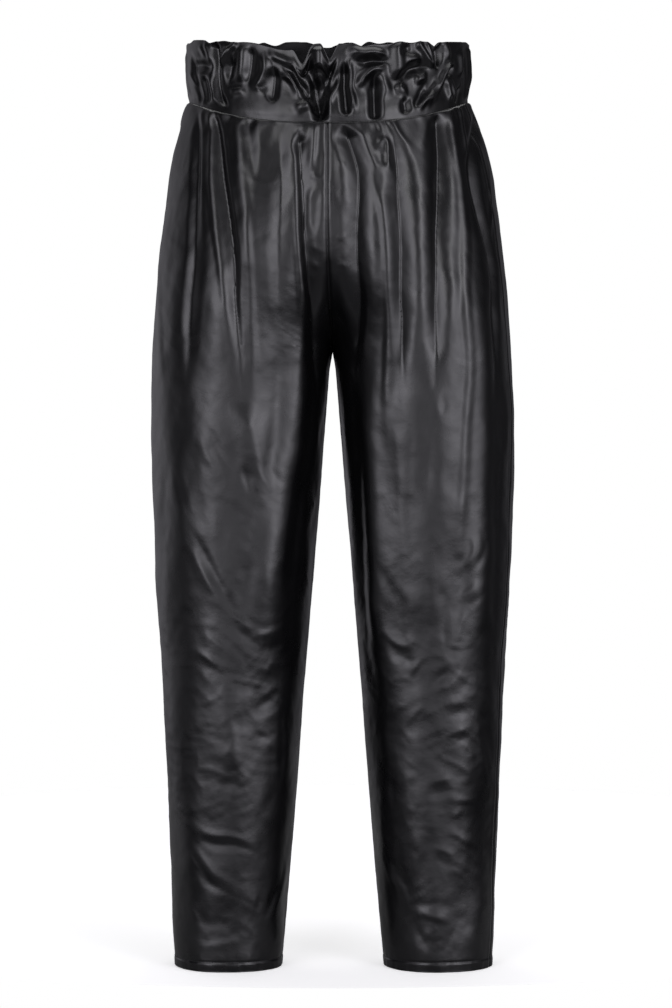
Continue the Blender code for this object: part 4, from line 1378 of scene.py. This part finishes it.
    def build(self) -> list[bpy.types.Object]:
        """Make the front and the back panel, and set them in the CAD nodes' place."""
        self.shape()
        half = self.grid.shape[1] // 2
        in_hem = (self.form.hem_drop + self.grid[:, 0, 2]) < self.hem_height
        wall = np.where(in_hem, self.hem_wall, self.wall)[:, None, None]
        inner = self.grid - self.normal * wall
        self.hold_to_seam(inner, self.grid)
        made = []
        for face, columns in (("front", slice(0, half + 1)), ("back", slice(half, None))):
            outer_part, inner_part = (self.parted(g[:, columns].copy(), face) for g in (self.grid, inner))
            if self.side is Side.RIGHT:
                outer_part, inner_part = outer_part[:, ::-1], inner_part[:, ::-1]
            node = f"{self.side.value}_{face}_panel"
            piece = shell_mesh(f"{node}_cloth", outer_part, inner_part, self.cloth)
            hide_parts(node)
            log.info("%s: %d faces", piece.name, len(piece.data.polygons))
            made.append(piece)
        return made

    def parted(self, points: np.ndarray, face: str) -> np.ndarray:
        """Move a panel's edges half a seam gap inside its seams.

        Args:
            points: The panel's grid.
            face: "front" or "back".

        Returns:
            The same grid, with its edges moved.
        """
        half = self.seam_gap / 2.0
        inner, outer, beside = (0, -1, -2) if face == "front" else (-1, 0, 1)
        drop = -points[:, inner, 2]
        points[:, inner, 0] += np.where(drop < self.form.crotch_drop + 1.0, self.side.outward * half, 0.0)
        forward = -1.0 if face == "front" else 1.0
        points[:, inner, 1] += np.where(drop > self.form.crotch_drop - 1.0, forward * half, 0.0)
        points[:, outer] += unit(points[:, beside] - points[:, outer]) * half
        points[0] += unit(points[1] - points[0]) * half
        return points

    def sew_hem(self) -> list[bpy.types.Object]:
        """Sew the turned-up hem, in one piece for each panel."""
        half = self.grid.shape[1] // 2
        drop = self.form.hem_drop - HEM_GROOVE.centre
        drops = -self.grid[..., 2]
        columns = range(self.grid.shape[1])
        line, outward = (
            np.array([[np.interp(drop, drops[:, j], g[:, j, i]) for i in range(3)] for j in columns])
            for g in (self.grid, self.normal)
        )
        made = []
        for face, columns in (("front", slice(1, half)), ("back", slice(half + 1, -1))):
            name = f"{self.side.value}_{face}_hem_stitches"
            made.append(StitchLine().build(name, line[columns], outward[columns], self.thread))
        return made

    def declare(self, pieces: Sequence[bpy.types.Object], stitches: Sequence[bpy.types.Object]) -> None:
        """Pair each panel with its columns of the smooth form, and do nothing more with them."""
        half = self.smooth.shape[1] // 2
        for k, (piece, columns) in enumerate(zip(pieces, (slice(0, half + 1), slice(half, None)))):
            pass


@dataclass
class Waistband:
    """The wide double waistband, bunched on its elastic, in a front and a back half."""

    form: GarmentForm
    cloth: Sequence[bpy.types.Material]
    wall: float = 2.0
    seam_gap: float = 0.3
    fullness: float = 1.25  # how deep the creases are beside the table's
    bulge: float = 1.0
    creased_mm: float = 215.0  # the front's own creases take the random puckers' place this far round
    columns_a_quarter: int = 180
    rows: int = 64
    back_share: float = 0.7  # how deep the back's creases are beside the front's
    level_share: float = 0.55  # above this share of its height the band rises and falls with its folds
    top_share: float = 0.45
    top_lifts: tuple[float, float] = (-5.0, 2.5)  # the lifts that its top edge follows
    cut_m: tuple[float, float] = (0.50, 0.078)  # each half's outer face before it is gathered
    ring: np.ndarray = field(default=None, repr=False)
    normal: np.ndarray = field(default=None, repr=False)

    def base(self) -> np.ndarray:
        """The band's form without its folds, from the left side seam round by the back."""
        shares = np.linspace(0.0, 2.0, 2 * self.columns_a_quarter + 1)
        heights = np.linspace(0.0, 1.0, self.rows + 1)
        drops = -self.form.band_height * heights
        (front0, back0), (front1, back1) = self.form.seam_dip, self.form.top_dip
        dips = [(front0 + (front1 - front0) * h, back0 + (back1 - back0) * h) for h in heights]
        left = self.form.rows(Side.LEFT, shares, drops, dips)
        right = self.form.rows(Side.RIGHT, shares, drops, dips)
        quarter = self.columns_a_quarter
        return np.concatenate([left[:, quarter:-1], right[:, :0:-1], left[:, :quarter]], axis=1)

    def shape(self) -> None:
        """Work out the band's outside, with its folds, and the normals."""
        ring = self.base()
        normal = grid_normals(ring, ring[:, -1], ring[:, 0], -1.0)
        closed = np.concatenate([ring, ring[:, :1]], axis=1)
        steps = np.linalg.norm(np.diff(closed, axis=1), axis=2)
        travelled = np.concatenate([np.zeros((len(ring), 1)), np.cumsum(steps, axis=1)[:, :-1]], axis=1)
        centre = 3 * self.columns_a_quarter
        around = travelled - travelled[:, centre : centre + 1]
        total = steps.sum(axis=1, keepdims=True)
        around = np.where(around < -total / 2.0, around + total, around)
        up = ring[..., 2] - ring[:1, :, 2]
        share_up = up / up[-1:]
        lift = np.zeros_like(around)
        half_round = float(total[0, 0]) / 2.0
        at_back = np.where(around > 0.0, around - half_round, around + half_round)
        for crease in BAND_CREASES:
            lift += crease.lift(around, up) + self.back_share * crease.lift(at_back, up)
        lift = self.fullness * softened(lift, 3)
        lift += self.gathers(around, share_up)
        lift += BAND_GROOVE.lift(up)
        lift += BAND_CURL.lift(up)
        lift += self.bulge * np.sin(math.pi * share_up) ** 1.5
        for swell in BAND_SWELLS:
            lift += swell.lift(around, up)
        self.ring = ring + normal * lift[..., None]
        top = smooth_step((share_up - self.level_share) / self.top_share)
        self.ring[..., 2] += top * np.clip(lift, *self.top_lifts) * 0.3
        self.ring[..., 2] += top * 1.2 * soft_noise(around / 13.0 + 4.0, np.zeros_like(around), 61)
        for notch in TOP_NOTCHES:
            self.ring[..., 2] -= notch.depth_at(around, total) * smooth_step((share_up - 0.3) / 0.7)
        self.normal = grid_normals(self.ring, self.ring[:, -1], self.ring[:, 0], -1.0)

    def gathers(self, around: np.ndarray, share_up: np.ndarray) -> np.ndarray:
        """Irregular puckers all round, fuller between the elastic's edges."""
        drift = 5.0 * soft_noise(around / 40.0, share_up * 2.0 + 1.0, 67)
        broad = soft_noise((around + drift) / 13.0 + 2.0, share_up * 1.6 + 0.3, 71)
        narrow = soft_noise((around + drift) / 5.5 + 8.0, share_up * 3.0 + 0.9, 73)
        hidden = 0.6 - 0.45 * smooth_step((self.creased_mm - np.abs(around)) / 30.0)
        return (2.4 * broad + 0.8 * narrow) * hidden * smooth_step(share_up / 0.12 + 0.15)

    def build(self) -> list[bpy.types.Object]:
        """Make the two halves, and set them in the CAD nodes' place."""
        self.shape()
        closed = np.concatenate([self.ring, self.ring[:, :1]], axis=1)
        normal = np.concatenate([self.normal, self.normal[:, :1]], axis=1)
        inner = closed - normal * self.wall
        half = 2 * self.columns_a_quarter
        made = []
        for face, columns in (("back", slice(0, half + 1)), ("front", slice(half, 2 * half + 1))):
            outer_part, inner_part = closed[:, columns].copy(), inner[:, columns].copy()
            for part in (outer_part, inner_part):
                part[:, 0] += unit(part[:, 1] - part[:, 0]) * self.seam_gap / 2.0
                part[:, -1] += unit(part[:, -2] - part[:, -1]) * self.seam_gap / 2.0
                part[0] += unit(part[1] - part[0]) * self.seam_gap / 2.0
            node = f"waistband_{face}"
            piece = shell_mesh(f"{node}_cloth", outer_part, inner_part, self.cloth)
            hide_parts(node)
            log.info("%s: %d faces, %.4f m2", piece.name, len(piece.data.polygons), area_of(outer_part))
            made.append(piece)
        return made


# --- The studio -------------------------------------------------------------------------------------


@dataclass(frozen=True)
class Surround:
    """How bright the room is in one direction.

    turn is in degrees, 0 behind the garment, 90 beside it and 180 behind the camera, to the picture's
    left and right, and low and high are near the floor and from the camera's height up.
    """

    turn: float
    left_low: float
    left_high: float
    right_low: float
    right_high: float


SURROUNDINGS = (
    Surround(0, 0.10, 0.10, 0.10, 0.15),
    Surround(36, 0.10, 0.50, 0.10, 0.15),
    Surround(58, 0.28, 0.95, 0.06, 0.10),
    Surround(76, 0.36, 0.35, 0.05, 0.08),
    Surround(98, 0.28, 0.06, 0.10, 0.30),
    Surround(116, 0.32, 0.15, 0.35, 1.30),
    Surround(134, 0.60, 1.80, 1.20, 3.90),
    Surround(146, 1.20, 6.00, 1.80, 5.80),
    Surround(157, 1.90, 4.20, 2.10, 3.20),
    Surround(168, 1.60, 0.60, 1.60, 0.60),
    Surround(180, 1.40, 0.35, 1.40, 0.35),
)


@dataclass(frozen=True)
class SoftBox:
    """A soft light that faces the garment's middle: where it hangs, its width and height, its watts."""

    name: str
    at_m: tuple[float, float, float]
    size_m: tuple[float, float]
    power: float


SOFT_BOXES = (
    SoftBox("left_soft_box", (-1.0, -3.1, 0.9), (0.7, 1.6), 8.0),
    SoftBox("right_soft_box", (1.7, -2.7, 0.9), (0.7, 1.6), 8.0),
    SoftBox("top_soft_box", (0.0, 0.7, 2.0), (2.6, 2.2), 36.0),
)


@dataclass
class Studio:
    """A pale floor, soft lights and the camera."""

    brightest: float = 6.0
    tint: tuple[float, float, float] = (0.94, 0.92, 1.0)  # the soft boxes' slightly violet white
    # How high a direction points, and how bright it is there beside the surroundings' own brightness.
    heights: tuple[tuple[float, float], ...] = (
        (-1.0, 0.2),
        (-0.42, 0.06),
        (-0.34, 0.08),
        (-0.27, 0.3),
        (-0.21, 0.9),
        (-0.14, 1.28),
        (0.0, 1.05),
        (0.25, 0.5),
        (0.8, 0.2),
    )
    low_to_high: tuple[float, float] = (-0.22, 0.1)
    camera_m: tuple[float, float, float] = (0.0055, -2.9, -0.441)
    lens_mm: float = 94.16
    floor_drop_m: float = -0.948
    floor_reach_m: float = 1.0
    floor_back_m: float = 0.86
    floor_corners: int = 96
    aim_m: tuple[float, float, float] = (0.0, 0.0, -0.45)

    def place_camera(self) -> None:
        """A level camera in front of the garment."""
        data = bpy.data.cameras.new("studio_camera")
        data.lens = self.lens_mm
        camera = bpy.data.objects.new("studio_camera", data)
        camera.location = self.camera_m
        camera.rotation_euler = (math.radians(90.0), 0.0, 0.0)
        bpy.context.scene.collection.objects.link(camera)
        bpy.context.scene.camera = camera

    def lay_floor(self) -> None:
        """A wide white floor just under the hems."""
        mesh = bpy.data.meshes.new("studio_floor")
        r, z = self.floor_reach_m, self.floor_drop_m
        turns = np.linspace(0.0, 2.0 * math.pi, self.floor_corners, endpoint=False)
        edge = [(r * math.cos(t), self.floor_back_m + r * math.sin(t), z) for t in turns]
        mesh.from_pydata(edge, [], [tuple(range(self.floor_corners))])
        mesh.materials.append(StudioFloor().build())
        floor = bpy.data.objects.new("studio_floor", mesh)
        bpy.context.scene.collection.objects.link(floor)

    def hang_light(self, box: SoftBox) -> None:
        """Hang one soft box."""
        data = bpy.data.lights.new(box.name, "AREA")
        data.shape = "RECTANGLE"
        data.size, data.size_y = box.size_m
        data.energy = box.power
        light = bpy.data.objects.new(box.name, data)
        light.location = box.at_m
        aim = np.array(self.aim_m) - np.array(box.at_m)
        yaw = math.atan2(aim[1], aim[0]) - math.pi / 2.0
        pitch = math.atan2(aim[2], math.hypot(aim[0], aim[1])) + math.pi / 2.0
        light.rotation_euler = (pitch, 0.0, yaw)
        bpy.context.scene.collection.objects.link(light)

    def ramp(
        self,
        tree: bpy.types.NodeTree,
        value: bpy.types.NodeSocket,
        places: Sequence[float],
        bright: Sequence[float],
    ) -> bpy.types.NodeSocket:
        """Turn a value into a brightness.

        Args:
            tree: The world's node tree.
            value: What to read, from 0 to 1.
            places: The values that the ramp names.
            bright: How bright it is there, as a share of the brightest.

        Returns:
            The socket that gives the brightness.
        """
        node = add_node(tree, "ShaderNodeValToRGB", inputs={"Fac": value})
        stops = node.color_ramp.elements
        while len(stops) < len(places):
            stops.new(0.5)
        for stop, place, share in zip(stops, places, bright):
            stop.position = place
            stop.color = (share, share, share, 1.0)
        return node.outputs["Color"]

    def light_around(self, tree: bpy.types.NodeTree, axes: bpy.types.Node) -> bpy.types.NodeSocket:
        """Read SURROUNDINGS in each direction.

        Args:
            tree: The world's node tree.
            axes: The direction's X, Y and Z.

        Returns:
            The socket that gives the brightness, as a share of the brightest.
        """
        flat = add_node(tree, "ShaderNodeCombineXYZ", inputs={k: axes.outputs[k] for k in ("X", "Y")})
        level = node_sum(tree, "NORMALIZE", flat.outputs["Vector"], kind="VectorMath")
        ahead = add_node(tree, "ShaderNodeSeparateXYZ", inputs={"Vector": level})
        turn = node_sum(tree, "DIVIDE", node_sum(tree, "ARCCOSINE", ahead.outputs["Y"]), math.pi)
        on_right = node_sum(tree, "GREATER_THAN", ahead.outputs["X"], 0.0)
        low_end, high_end = self.low_to_high
        is_high = add_node(
            tree,
            "ShaderNodeMapRange",
            {"interpolation_type": "SMOOTHSTEP"},
            {"Value": axes.outputs["Z"], "From Min": low_end, "From Max": high_end},
        )
        turns = [row.turn / 180.0 for row in SURROUNDINGS]
        sides = []
        for side in ("left", "right"):
            ends = []
            for end in ("low", "high"):
                bright = [getattr(row, f"{side}_{end}") / self.brightest for row in SURROUNDINGS]
                ends.append(self.ramp(tree, turn, turns, bright))
            sides.append(mix(tree, is_high.outputs["Result"], *ends))
        return mix(tree, on_right, *sides)

    def light_world(self) -> None:
        """A dim room with a broad soft light before the garment and to its sides, seen as white."""
        world = bpy.data.worlds.new("studio_world")
        world.use_nodes = True
        tree = world.node_tree
        place = add_node(tree, "ShaderNodeTexCoord")
        axes = add_node(tree, "ShaderNodeSeparateXYZ", inputs={"Vector": place.outputs["Generated"]})
        around = self.light_around(tree, axes)
        height = node_sum(tree, "MULTIPLY_ADD", axes.outputs["Z"], 0.5, 0.5)
        places = [(z + 1.0) / 2.0 for z, _ in self.heights]
        gain = self.ramp(tree, height, places, [bright / self.brightest for _, bright in self.heights])
        lit = node_sum(tree, "MULTIPLY", around, gain, kind="VectorMath")
        power = [self.brightest**2 * share for share in self.tint]
        scaled = node_sum(tree, "MULTIPLY", lit, power, kind="VectorMath")
        by_camera = add_node(tree, "ShaderNodeLightPath").outputs["Is Camera Ray"]
        seen = mix(tree, by_camera, scaled, WHITE)
        tree.links.new(seen, tree.nodes["Background"].inputs["Color"])
        bpy.context.scene.world = world
        bpy.context.scene.view_settings.view_transform = "Standard"

    def build(self) -> None:
        """Set the studio up."""
        self.place_camera()
        self.lay_floor()
        for box in SOFT_BOXES:
            self.hang_light(box)
        self.light_world()


def main() -> None:
    """Build the dressed leggings around the CAD frame."""
    logging.basicConfig(level=logging.INFO, format="%(name)s: %(message)s")
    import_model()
    form = GarmentForm()
    cloth = (CoatedCloth().build(), KnitBacking().build())
    thread = SewingThread().build()
    for side in Side:
        leg = Leg(form, side, cloth, thread)
        leg.declare(leg.build(), leg.sew_hem())
    Waistband(form, cloth).build()
    Studio().build()


if __name__ == "__main__":
    main()
